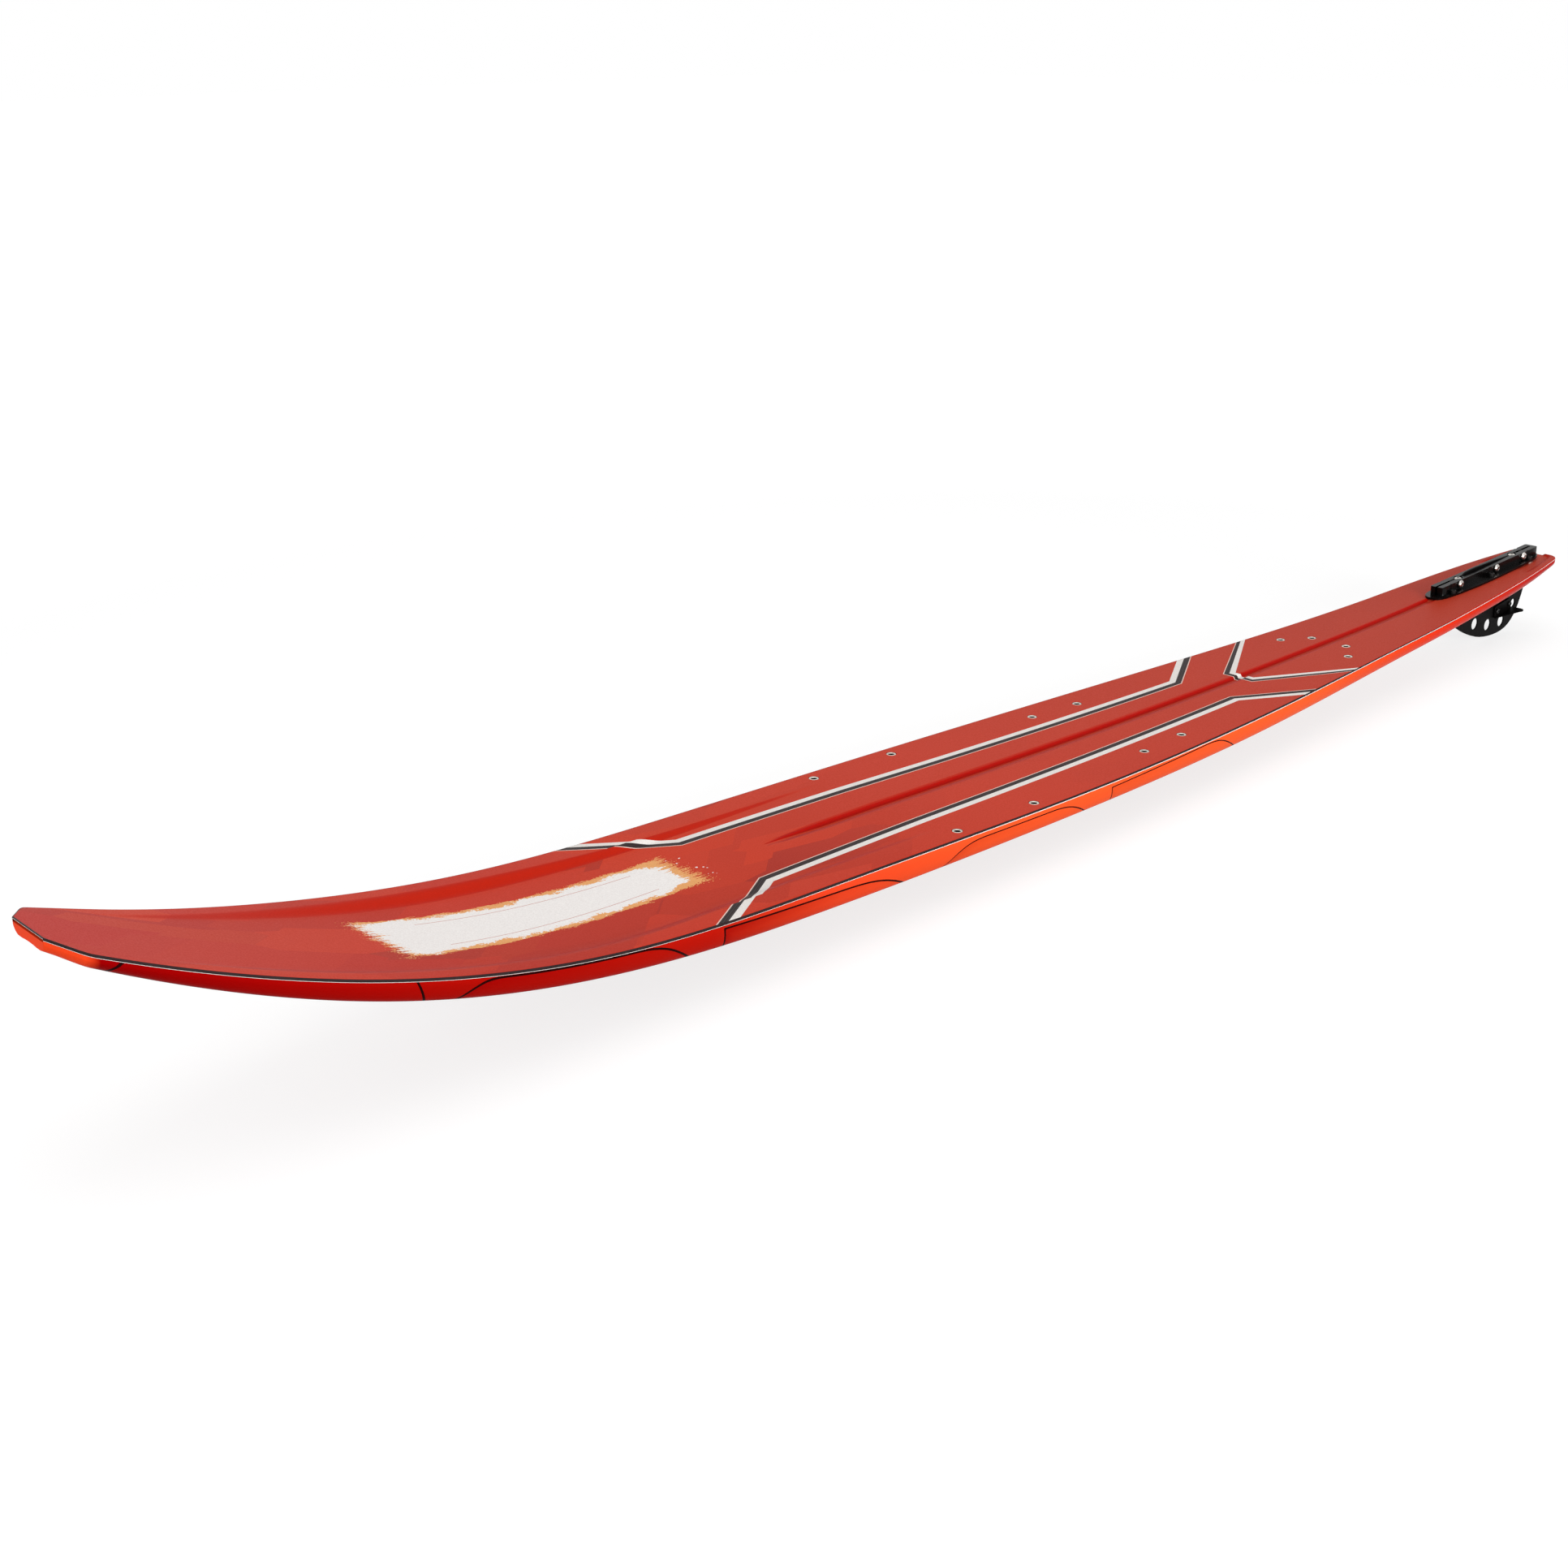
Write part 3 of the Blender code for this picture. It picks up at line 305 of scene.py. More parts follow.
def pieceFrom(name, points, faces, uv=None):
    mesh = bpy.data.meshes.new(name)
    mesh.from_pydata(points.tolist(), [], faces if isinstance(faces, list) else faces.tolist())
    if uv is not None:
        corners = np.empty(len(mesh.loops), dtype=np.int32)
        mesh.loops.foreach_get("vertex_index", corners)
        mesh.uv_layers.new(name="surface").data.foreach_set("uv", uv[corners].astype(np.float32).ravel())
    work = bmesh.new()
    work.from_mesh(mesh)
    bmesh.ops.recalc_face_normals(work, faces=work.faces)
    work.to_mesh(mesh)
    work.free()
    mesh.shade_smooth()
    mesh.set_sharp_from_angle(angle=sharpAngle)
    return newObject(name, mesh)


def gridFaces(rows, ring):
    # quads between neighbouring rings of points
    r, k = np.meshgrid(np.arange(rows - 1), np.arange(ring), indexing="ij")
    n = (k + 1) % ring
    return np.stack([r * ring + k, r * ring + n, (r + 1) * ring + n, (r + 1) * ring + k], -1).reshape(-1, 4)


def ringPiece(name, outer, inner, uvOuter, uvInner):
    # outer and inner are (rows, points, 3) sheets; together they make closed rings
    # strips of quads between the two sheets close both ends
    rings = np.concatenate([outer, inner[:, ::-1]], axis=1)
    uv = np.concatenate([uvOuter, uvInner[:, ::-1]], axis=1)
    rows, ring = rings.shape[:2]
    k = np.arange(ring // 2 - 1)
    cap = np.stack([k, k + 1, ring - 2 - k, ring - 1 - k], -1)
    faces = np.concatenate([gridFaces(rows, ring), cap, (rows - 1) * ring + cap[:, ::-1]])
    return pieceFrom(name, rings.reshape(-1, 3), faces, uv=uv.reshape(-1, 2))


def deckHalf(y):
    # top of half the deck: groove, floor, wall and ridge as smooth steps, then a quarter round
    half, top = halfWidth(y)[:, None], deckHeight(y)[:, None]
    lip, wall, depth = [v[:, None] for v in recess(y)]
    wide, low = [v[:, None] for v in groove(y)]
    a, b, c, d, e, f = [np.linspace(0, 1, n + 1)[:-1] for n in deckShape["steps"]]
    r, flat = deckShape["edgeRound"], deckShape["grooveFloor"]
    one = np.ones_like(half)
    x = np.concatenate([a * flat * wide, (flat + (1 - flat) * b) * wide, wide + c * (lip - wall - wide),
                        lip - wall + d * wall, lip + e * (half - r - lip),
                        half - r + r * np.sin(f * math.pi / 2), half], axis=1)
    z = np.concatenate([one * a * 0 - low - depth, smooth(b) * low - low - depth, one * c * 0 - depth,
                        smooth(d) * depth - depth, one * e * 0, one * (r * np.cos(f * math.pi / 2) - r),
                        -r * one], axis=1)
    return x, z + top


def mirrored(x, y, z):
    # whole width from half: the far half first, then the near half
    x = np.concatenate([-x[:, :0:-1], x], axis=1)
    z = np.concatenate([z[:, :0:-1], z], axis=1)
    return np.stack([x, np.broadcast_to(y[:, None], x.shape), z], axis=-1)


def makeDeck():
    y = sectionYs()
    x, z = deckHalf(y)
    top = mirrored(x, y, z)
    under = top - np.array([0, 0, deckShape["sheet"]])
    # the map holds the distance from the nearest edge, less than 0 down the side, and the place along the ski
    slope = np.gradient(halfWidth(y), y)[:, None]
    edge = (halfWidth(y)[:, None] - np.abs(top[..., 0])) / np.sqrt(1 + slope ** 2)
    edge = np.minimum(edge, np.minimum(y - noseY, tailY - y)[:, None])
    uv = np.stack([edge, top[..., 1]], axis=-1)
    return ringPiece("deckSkin", top, under, uv, uv - np.array([deckShape["sheet"], 0]))


def baseHalf(y, inset, raised):
    # rim, upright side, Bezier bevel, flat land and a parabolic tunnel
    shape = baseShape
    half, top, drop = halfWidth(y)[:, None], deckHeight(y)[:, None], dropAt(y)[:, None]
    bevel = np.minimum(shape["bevel"], shape["bevelShare"] * half)
    foot = half - bevel
    inner = foot - np.minimum(shape["land"], shape["landShare"] * foot)
    full = np.minimum(1, drop / shape["tunnelDrop"]) * np.minimum(1, (half / shape["tunnelHalf"]) ** 2)
    tunnel = shape["tunnel"] * full
    a, b, c, d = [np.linspace(0, 1, n + 1)[:-1] for n in shape["steps"]]
    rim, land = shape["rim"], shape["edgeLand"]
    # Bezier from 0 to 1: 3b(1 - b)^2 of the first control point, 3b^2(1 - b) of the second and b^3
    sx, sz = [3 * b * (1 - b) ** 2 * p + 3 * b ** 2 * (1 - b) * q + b ** 3 for p, q in zip(*shape["curve"])]
    one = np.ones_like(half)
    x = np.concatenate([one * half + 0 * a, half - bevel * sx, foot - c * (foot - inner),
                        inner * (1 - d), 0 * one], axis=1)
    z = np.concatenate([-(rim + a * (land - rim)) * one, -(land + sz * (drop - land)), -drop + 0 * c,
                        -drop + tunnel * (1 - (1 - d) ** 2), -drop + tunnel], axis=1)
    x = np.where(x > inset, x - inset * np.clip(x / inner, 0, 1), x)
    lifted = np.clip((-z - land) / np.maximum(drop - land, shape["wall"]), 0, 1) * raised
    return x, z + lifted + top


def makeBase():
    y = sectionYs()
    x, z = baseHalf(y, 0.0, 0.0)
    outer = mirrored(x[:, ::-1], y, z[:, ::-1])
    near = np.clip(y, noseY + baseShape["endRoom"], tailY - baseShape["endRoom"])
    x, z = baseHalf(near, baseShape["wall"], baseShape["wall"])
    inner = mirrored(x[:, ::-1], near, z[:, ::-1])
    # both end walls: the inner sheet stands up to the deck's underside there
    deckX, deckZ = deckHalf(near)
    ends = (y < noseY + baseShape["endWall"]) | (y > tailY - baseShape["endWall"])
    for row in np.flatnonzero(ends):
        roof = np.interp(np.abs(inner[row, :, 0]), deckX[row], deckZ[row])
        under = roof - deckShape["sheet"] - baseShape["deckRoom"]
        side = outer[row, -1, 0] - baseShape["sideRoom"]
        inner[row, :, 0] = np.clip(inner[row, :, 0], -side, side)
        inner[row, :, 1] = y[row]
        inner[row, :, 2] = np.minimum(under, outer[row, 0, 2])
    # the map holds the place along the ski and the height below the deck's edge
    top = deckHeight(y)[:, None]
    uvOuter, uvInner = [np.stack([sheet[..., 1], top - sheet[..., 2]], axis=-1) for sheet in (outer, inner)]
    return ringPiece("baseSkin", outer, inner, uvOuter, uvInner)


def turned(profile, sides, place, axes):
    # profile rows are radius, height and, in a socket, 1 where the ring is a hexagon
    # each row's ring is radius * (cos, sin), and a hexagon's radius changes with cos(30) / cos(angle from its flat)
    rows = np.array([(*row, 0)[:3] for row in profile], float)
    angle = 2 * math.pi * np.arange(sides) / sides
    hexagon = math.cos(math.pi / 6) / np.cos((angle + math.pi / 6) % (math.pi / 3) - math.pi / 6)
    reach = rows[:, :1] * (1 + rows[:, 2:3] * (hexagon[None, :] - 1))
    local = np.stack([reach * np.cos(angle), reach * np.sin(angle), np.broadcast_to(rows[:, 1:2], reach.shape)], -1)
    points = local.reshape(-1, 3) @ np.array(axes) + np.array(place)
    caps = [list(range(sides)), list(range((len(rows) - 1) * sides, len(rows) * sides))]
    return points, gridFaces(len(rows), sides).tolist() + caps


def raceTrack(half, low, high, steps):
    # outline of a slot: a half circle at each end, joined by straight sides
    t = np.linspace(0, math.pi, steps + 1)
    front = np.stack([half * np.cos(t), high - half + half * np.sin(t)], -1)
    back = np.stack([-half * np.cos(t), low + half - half * np.sin(t)], -1)
    return np.concatenate([front, back])


def cutter(name, shapes):
    # one hidden tool of several closed solids
    points, faces = [], []
    for p, f in shapes:
        start = sum(len(q) for q in points)
        points.append(p)
        faces += [[start + k for k in face] for face in f]
    return pieceFrom(name, np.concatenate(points), faces)


def cut(piece, tool):
    # exact Boolean, applied at once, and the tool goes
    step = piece.modifiers.new("cut", "BOOLEAN")
    step.operation, step.solver, step.object = "DIFFERENCE", "EXACT", tool
    ready = bpy.data.meshes.new_from_object(piece.evaluated_get(bpy.context.evaluated_depsgraph_get()))
    piece.modifiers.clear()
    piece.data = ready
    bpy.data.objects.remove(tool, do_unlink=True)


inserts = {
    # distance from the tail, half spacing
    "rows": [(1.0175, 0.0780), (0.9285, 0.0776), (0.7680, 0.0613), (0.7115, 0.0573),
             (0.4253, 0.0378), (0.4000, 0.0192)],
    "hole": 0.0043, "holeReach": 0.004, "holeSides": 48,
    "barrel": 0.0041, "length": 0.0095, "chamfer": 0.0003, "flange": 0.0055, "flangeThick": 0.0016, "sides": 40,
    # bore: its depth and the chamfer of its mouth; thread: pitch, height, and where in a turn it starts and peaks
    "bore": 0.00255, "boreDepth": 0.0080, "boreChamfer": 0.0005, "pitch": 0.00127, "thread": 0.00045,
    "threadFoot": 0.25, "threadPeak": 0.6,
}
slot = {"rear": 0.8310, "length": 0.1850, "deckHalf": 0.0032, "baseHalf": 0.0021, "steps": 10, "toolHeight": 0.3}
across = np.array([1.0, 0.0, 0.0])


def insertPlaces():
    # on the deck, each square to it: the lean is the deck's slope over 4 mm
    step = 0.002
    for back, half in inserts["rows"]:
        y = tailY - back
        lean = math.atan(float(deckHeight(np.array(y + step)) - deckHeight(np.array(y - step))) / (2 * step))
        axes = (across, (0, math.cos(lean), math.sin(lean)), (0, -math.sin(lean), math.cos(lean)))
        for side in (-1, 1):
            yield (side * half, y, float(deckHeight(np.array(y)))), axes


def slotShape(half):
    # the slot's outline carried straight up
    outline = raceTrack(half, slot["rear"] - slot["length"], slot["rear"], slot["steps"])
    count = len(outline)
    points = np.concatenate([np.column_stack([outline, np.full(count, z)]) for z in (0.0, slot["toolHeight"])])
    return points, gridFaces(2, count).tolist() + [list(range(count)), list(range(count, 2 * count))]


print("deck and base")
deckSkin = makeDeck()
baseSkin = makeBase()
holeProfile = [(inserts["hole"], -inserts["holeReach"]), (inserts["hole"], inserts["holeReach"])]
holes = [turned(holeProfile, inserts["holeSides"], place, axes) for place, axes in insertPlaces()]
cut(deckSkin, cutter("deckTool", holes + [slotShape(slot["deckHalf"])]))
cut(baseSkin, cutter("baseTool", [slotShape(slot["baseHalf"])]))
for piece in (deckSkin, baseSkin):
    piece.data.set_sharp_from_angle(angle=sharpAngle)
    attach(piece, "ski")
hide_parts("deck_shell")
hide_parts("base_shell")


def lineValue(p, q):
    # (a, b, c) so that a * x + b * y + c is the distance to the left of the line from p to q
    dx, dy = q[0] - p[0], q[1] - p[1]
    size = math.hypot(dx, dy)
    return np.array([-dy / size, dx / size, (dy * p[0] - dx * p[1]) / size])


def distances(tree, place, lines):
    # place is (x, y, 1), so one dot product gives the distance from a line
    return [add(tree, "VectorMath", (place, tuple(line)), out="Value", operation="DOT_PRODUCT") for line in lines]


def lowest(tree, values, rounding=0.0):
    # smallest of several distances; a rounding softens their corners
    result = values[0]
    for value in values[1:]:
        kind = "SMOOTH_MIN" if rounding else "MINIMUM"
        result = add(tree, "Math", (result, value, rounding), operation=kind)
    return result


def total(tree, *values):
    result = values[0]
    for value in values[1:]:
        result = add(tree, "Math", (result, value), operation="ADD")
    return result


def within(tree, value, low, high, *masks):
    # 1 where the value lies between low and high, times any other masks
    result = add(tree, "Math", (value, (low + high) / 2, (high - low) / 2), operation="COMPARE")
    for mask in masks:
        result = add(tree, "Math", (result, mask), operation="MULTIPLY")
    return result


def paintOver(tree, color, layers):
    # coats of paint, each a mask and a colour, from the lowest up
    for mask, coat in layers:
        under, over = [linear(c) if isinstance(c, str) else c for c in (color, coat)]
        color = add(tree, "Mix", {0: mask, 6: under, 7: over}, out=2, data_type="RGBA")
    return color


noiseSpan = (0.3, 0.7)  # most of a noise lies between these
# a change in these dictionaries is: from, to, value at the first, value at the second
laminate = {
    # painted shade: the deck's red darkens towards the tail, in place of the light falling off there
    "deck": "#c53a24", "deckNose": "#be2517", "paintedTailShade": "#b23824", "toNose": (-0.35, -0.60, 0.0, 1.0),
    "tailShadeChange": (-0.10, 0.65, 0.0, 1.0), "specular": 0.03,
    # fields of darker and brighter red, 45 by 110 mm, and their strength along the ski
    "shade": "#98241a", "bright": "#cf3a1c", "fieldTurn": 24, "fieldsPerMetre": (22, 9, 1),
    "fields": {"Scale": 1.0, "Randomness": 0.85}, "fieldStrength": (-0.36, -0.12, 0.85, 0.06),
    # painted light: walls are painted a clearer red by how far the surface leans, in place of how light and
    # reflection fall on them, and the groove's walls a deeper red as painted shade
    "wall": "#b61f0a", "groove": "#a60f07", "paintedLightLean": (0.06, 0.15, 0.0, 1.0), "grooveHalf": 0.0050,
    # peel-ply grain: 1.1 mm cells, drawn coarser than the real 0.3 mm so that they show
    "grain": {"Scale": 900.0, "Detail": 3.0, "Roughness": 0.6}, "bump": {"Strength": 0.25, "Distance": 0.0002},
    "fleck": "#5a1a12", "fleckChange": (0.35, 0.65, 0.0, 0.13), "roughChange": (0.3, 0.7, 0.36, 0.48),
}


def laminateCoats(tree, spot, y, halfX):
    # tone on tone: straight-sided fields, strongest on the forebody
    g = laminate
    turn = (0, 0, math.radians(g["fieldTurn"]))
    fields = add(tree, "Mapping", {"Vector": spot, "Rotation": turn, "Scale": g["fieldsPerMetre"]})
    cell = add(tree, "TexVoronoi", {"Vector": fields, **g["fields"]}, out="Color",
               distance="CHEBYCHEV", feature="F1")
    cell = add(tree, "SeparateColor", (cell,), out=None)
    strength = add(tree, "MapRange", (y, *g["fieldStrength"]))
    # the deck grows redder towards the nose, and painted shade darkens it towards the tail
    coats = [(add(tree, "MapRange", (y, *g["toNose"])), g["deckNose"]),
             (add(tree, "MapRange", (y, *g["tailShadeChange"])), g["paintedTailShade"])]
    coats += [(add(tree, "Math", (cell.outputs[k], strength), operation="MULTIPLY"), g[key])
              for k, key in enumerate(("shade", "bright"))]
    # painted light: walls of the scoop and the groove are painted clear red by their lean, for how light falls on
    # them, and the groove's walls deeper red as painted shade
    slope = add(tree, "SeparateXYZ", (add(tree, "NewGeometry", out="Normal"),))
    lean = add(tree, "Math", (slope,), operation="ABSOLUTE")
    wall = add(tree, "MapRange", (lean, *g["paintedLightLean"]))
    return coats + [(wall, g["wall"]), (within(tree, halfX, -1, g["grooveHalf"], wall), g["groove"])]


stripes = {
    "black": "#262223", "hatch": "#4d4848", "white": "#e9e4df", "pale": "#e9c9bd",
    # folded stripe, in half-deck places: edge, front bend, rear bend, edge (boundary of black and white)
    "fold": [(0.0915, -0.4076), (0.0480, -0.3380), (0.0326, 0.2472), (0.0712, 0.3125)],
    "blackWide": 0.0053, "whiteWide": 0.0057, "paleWide": 0.0009,
    # at the scoop's lip the front arm steps towards the nose
    "stepHalf": 0.0690, "step": 0.0064,
    # chevron: its front edge and its rear edge, each flat across the groove and then out to the ski's edge
    "chevronFront": [(0.0, 0.2985), (0.0155, 0.2985), (0.0650, 0.3885)],
    "chevronRear": [(0.0, 0.3090), (0.0100, 0.3090), (0.0620, 0.3975)],
    "chevronPale": 0.09, "chevronBlack": 0.46,  # shares of its width
    # fine hatch in the black: lines 1.9 mm apart
    "hatchHalf": 0.00095, "hatchChange": (0.0004, 0.00095, 0.0, 0.6),
}


def stripeCoats(tree, y, halfX):
    # crisp printed bands, each between two distances from one folded line, with a fine hatch in the black
    g = stripes
    outside = add(tree, "Math", (halfX, g["stepHalf"]), operation="GREATER_THAN")
    stepped = add(tree, "Math", (within(tree, y, -1, 0, outside), g["step"], y), operation="MULTIPLY_ADD")
    folded = add(tree, "CombineXYZ", (halfX, stepped, 1.0))
    stripe = lowest(tree, distances(tree, folded, [-lineValue(p, q) for p, q in zip(g["fold"], g["fold"][1:])]))
    hatch = add(tree, "Math", (stripe, g["hatchHalf"]), operation="PINGPONG")
    inked = paintOver(tree, g["black"], [(add(tree, "MapRange", (hatch, *g["hatchChange"])), g["hatch"])])
    # the chevron's share is 0 at its front edge and 1 at its rear edge
    front, rear = [lowest(tree, distances(tree, folded, [lineValue(*line[:2]), lineValue(*line[1:])]))
                   for line in (g["chevronFront"], g["chevronRear"])]
    rear = add(tree, "Math", (rear, -1.0), operation="MULTIPLY")
    share = add(tree, "Math", (front, total(tree, front, rear)), operation="DIVIDE")
    bands = ((stripe, -g["blackWide"] - g["paleWide"], -g["blackWide"], 0, g["whiteWide"]),
             (share, -g["chevronPale"], 0, g["chevronBlack"], 1))
    return [(within(tree, band[0], *band[k:k + 2]), coat)
            for band in bands for k, coat in enumerate((g["pale"], inked, g["white"]), 1)]


patch = {
    "paint": "#f5f1ee", "wash": "#eaa868", "pin": "#c98a80",
    # nose left, nose right, rear right, rear left
    "corners": [(-0.0375, -0.6270), (0.0320, -0.6245), (0.0205, -0.3680), (-0.0350, -0.3700)],
    # ragged edges: turn, strokes per metre, and then detail and reach of the fraying
    "ends": (2, (620, 45, 1), 5.0, 0.0085), "longSides": (3, (300, 55, 1), 4.0, 0.0024),
    # dry brush: specks of 1 mm that thicken over the last 12 mm of each end
    "grit": (800.0, 2.0, -0.0016, 0.0016), "dry": (0.012, 0.0, 1.0, 3.2),
    # how far the white paint stops short of the wash: in clouds, in specks and at the rear
    "clouds": (34.0, 3.0, -0.0085, 0.0002), "specks": (420.0, 3.0, -0.0020, 0.0020),
    "rear": (-0.410, -0.372, 0.0, -0.0075), "noiseRough": 0.65,
    # spatter past the rear end: specks of 1 mm on a 3 mm cell, how far behind the end and how far inside the sides
    "spatter": {"Scale": 330.0, "Randomness": 1.0}, "spatterSize": (0.70, 1.0, 0.0, 0.36),
    "spatterBehind": 0.017, "spatterInside": 0.004,
    # two thin rule lines: distance in from the long sides, width, and reach along the ski
    "pinIn": 0.0125, "pinWide": 0.0006, "pinFrom": -0.585, "pinTo": -0.405,
}


def patchCoats(tree, spot, place, y):
    # brushed patch: distances inside its four sides, each with noise added; paint lies where the least is above 0
    g, corner = patch, patch["corners"]
    sides = distances(tree, place, [lineValue(corner[k], corner[(k + 1) % 4]) for k in range(4)])

    def spread(vector, scale, detail, low, high):
        drawing = {"Vector": vector, "Scale": scale, "Detail": detail, "Roughness": g["noiseRough"]}
        return add(tree, "MapRange", (add(tree, "TexNoise", drawing), *noiseSpan, low, high))

    def frayed(edge, turn, strokes, detail, reach):
        # strokes follow the brush, along the ski
        rotation = (0, 0, math.radians(turn))
        drawn = add(tree, "Mapping", {"Vector": spot, "Rotation": rotation, "Scale": strokes})
        return total(tree, edge, spread(drawn, 1.0, detail, -reach, reach))

    bothEnds = lowest(tree, [sides[0], sides[2]])
    longSides = frayed(lowest(tree, [sides[1], sides[3]]), *g["longSides"])
    ends = frayed(bothEnds, *g["ends"])
    dry = add(tree, "MapRange", (bothEnds, *g["dry"]))
    grit = add(tree, "Math", (spread(spot, *g["grit"]), dry), operation="MULTIPLY")
    ragged = total(tree, lowest(tree, [longSides, ends]), grit)
    rear = add(tree, "MapRange", (y, *g["rear"]))
    painted = total(tree, ragged, spread(spot, *g["clouds"]), rear, spread(spot, *g["specks"]))
    cell = add(tree, "TexVoronoi", {"Vector": spot, **g["spatter"]}, out=None, feature="F1")
    size = add(tree, "MapRange", (add(tree, "SeparateColor", (cell.outputs["Color"],)), *g["spatterSize"]))
    speck = add(tree, "Math", (cell.outputs["Distance"], size), operation="LESS_THAN")
    inside = within(tree, longSides, g["spatterInside"], 1)
    ruled = within(tree, y, g["pinFrom"], g["pinTo"])
    return [(within(tree, ragged, 0, 1), g["wash"]), (within(tree, painted, 0, 1), g["paint"]),
            (within(tree, sides[2], -g["spatterBehind"], 0.0, inside, speck), g["paint"])] + [
            (within(tree, sides[k], g["pinIn"], g["pinIn"] + g["pinWide"], ruled), g["pin"]) for k in (1, 3)]


border = {
    # dark border over the edge's rounding and down the side, and a white line under it
    # widths at the nose, the middle and the tail
    "top": (0.0008, 0.0008, 0.0002), "side": (0.00085, 0.00049, -0.0001), "line": (0.00025, 0.00060, 0.00060),
    # the first change is over the forebody, the second ahead of the fin block
    "fore": (-0.38, -0.10), "aft": (0.30, 0.62),
}


def borderCoats(tree, y):
    # the deck's map gives the distance from the edge, less than 0 down the side
    edge = add(tree, "SeparateXYZ", (add(tree, "UVMap", uv_map="surface"),))

    def alongSki(nose, middle, tail):
        ahead = add(tree, "MapRange", (y, *border["fore"], nose, middle))
        return total(tree, ahead, add(tree, "MapRange", (y, *border["aft"], 0.0, tail - middle)))

    top, side, line = [alongSki(*border[key]) for key in ("top", "side", "line")]
    below = total(tree, edge, side)
    onTop = add(tree, "Math", (edge, top), operation="LESS_THAN")
    return [(within(tree, edge, -1, 0), stripes["white"]), (within(tree, below, 0, 1, onTop), stripes["black"]),
            (within(tree, total(tree, below, line), -1, 0), laminate["wall"])]


def makeDeckLaminate():
    # glass laminate under a matt peel-ply clear coat: fine dull grain, crisp printed stripes
    g = laminate
    made, tree, shader = newMaterial("mattClearCoatedLaminate", {"Specular IOR Level": g["specular"]})
    spot = add(tree, "TexCoord", out="Object")
    axis = add(tree, "SeparateXYZ", (spot,), out=None)
    x, y = axis.outputs[0], axis.outputs[1]
    halfX = add(tree, "Math", (x,), operation="ABSOLUTE")
    place = add(tree, "CombineXYZ", (x, y, 1.0))
    grain = add(tree, "TexNoise", {"Vector": spot, **g["grain"]})
    coats = laminateCoats(tree, spot, y, halfX) + stripeCoats(tree, y, halfX)
    coats += patchCoats(tree, spot, place, y) + borderCoats(tree, y)
    coats += [(add(tree, "MapRange", (grain, *g["fleckChange"])), g["fleck"])]
    wire(tree, shader, {
        "Base Color": paintOver(tree, g["deck"], coats),
        "Roughness": add(tree, "MapRange", (grain, *g["roughChange"])),
        "Normal": add(tree, "Bump", {"Height": grain, **g["bump"]})})
    return made


gelCoat = {
    # place along the ski and colour of the side there
    "along": [(-0.8320, "#f2461f"), (-0.8310, "#900002"), (-0.6450, "#a20904"), (-0.4200, "#ae1408"),
              (-0.3000, "#e04220"), (-0.1500, "#e85124"), (0.3200, "#ea5826"), (0.5600, "#de2f10"),
              (0.8000, "#b01006")],
    "line": "#240505", "lineWide": (0.00080, 0.00070, 0.00050, 0.00050),
    # four panels, as (along, below the deck's edge): foot and top of the front side, top and foot of the rear side
    "panels": [
        [(-0.6202, 0.0160), (-0.6050, 0.0030), (-0.4650, 0.0026), (-0.4420, 0.0200)],
        [(-0.4115, 0.0208), (-0.4150, 0.0044), (-0.2590, 0.0088), (-0.2353, 0.0215)],
        [(-0.1915, 0.0212), (-0.1745, 0.0058), (-0.0480, 0.0060), (-0.0240, 0.0200)],
        [(0.0085, 0.0190), (0.0035, 0.0056), (0.1600, 0.0028), (0.1890, 0.0185)],
    ],
    # how far each panel's front and rear corners are rounded
    "rounding": ((0.012, 0.020), (0.002, 0.020), (0.020, 0.016), (0.002, 0.014)),
    # depth of the panels' colour: at their front and rear, in from their line, and along the ski
    "inside": "#8c0002", "insideEnds": (0.75, 0.12), "insideRim": (0.0, 0.007, 0.9, 0.35),
    "insideFore": (-0.45, -0.05, 1.0, 0.30),
    "joints": [[(-0.8250, 0.0115), (-0.8168, 0.0020)], [(-0.6502, 0.0020), (-0.6435, 0.0168)]],
    # scuffs of 11 mm that dull the gloss, and a faint waviness 30 mm long
    "scuffs": {"Scale": 90.0, "Detail": 6.0, "Roughness": 0.7}, "roughChange": (0.35, 0.75, 0.16, 0.30),
    "waves": {"Scale": 34.0, "Detail": 1.0}, "bump": {"Strength": 0.08, "Distance": 0.0006}, "specular": 0.006,
}


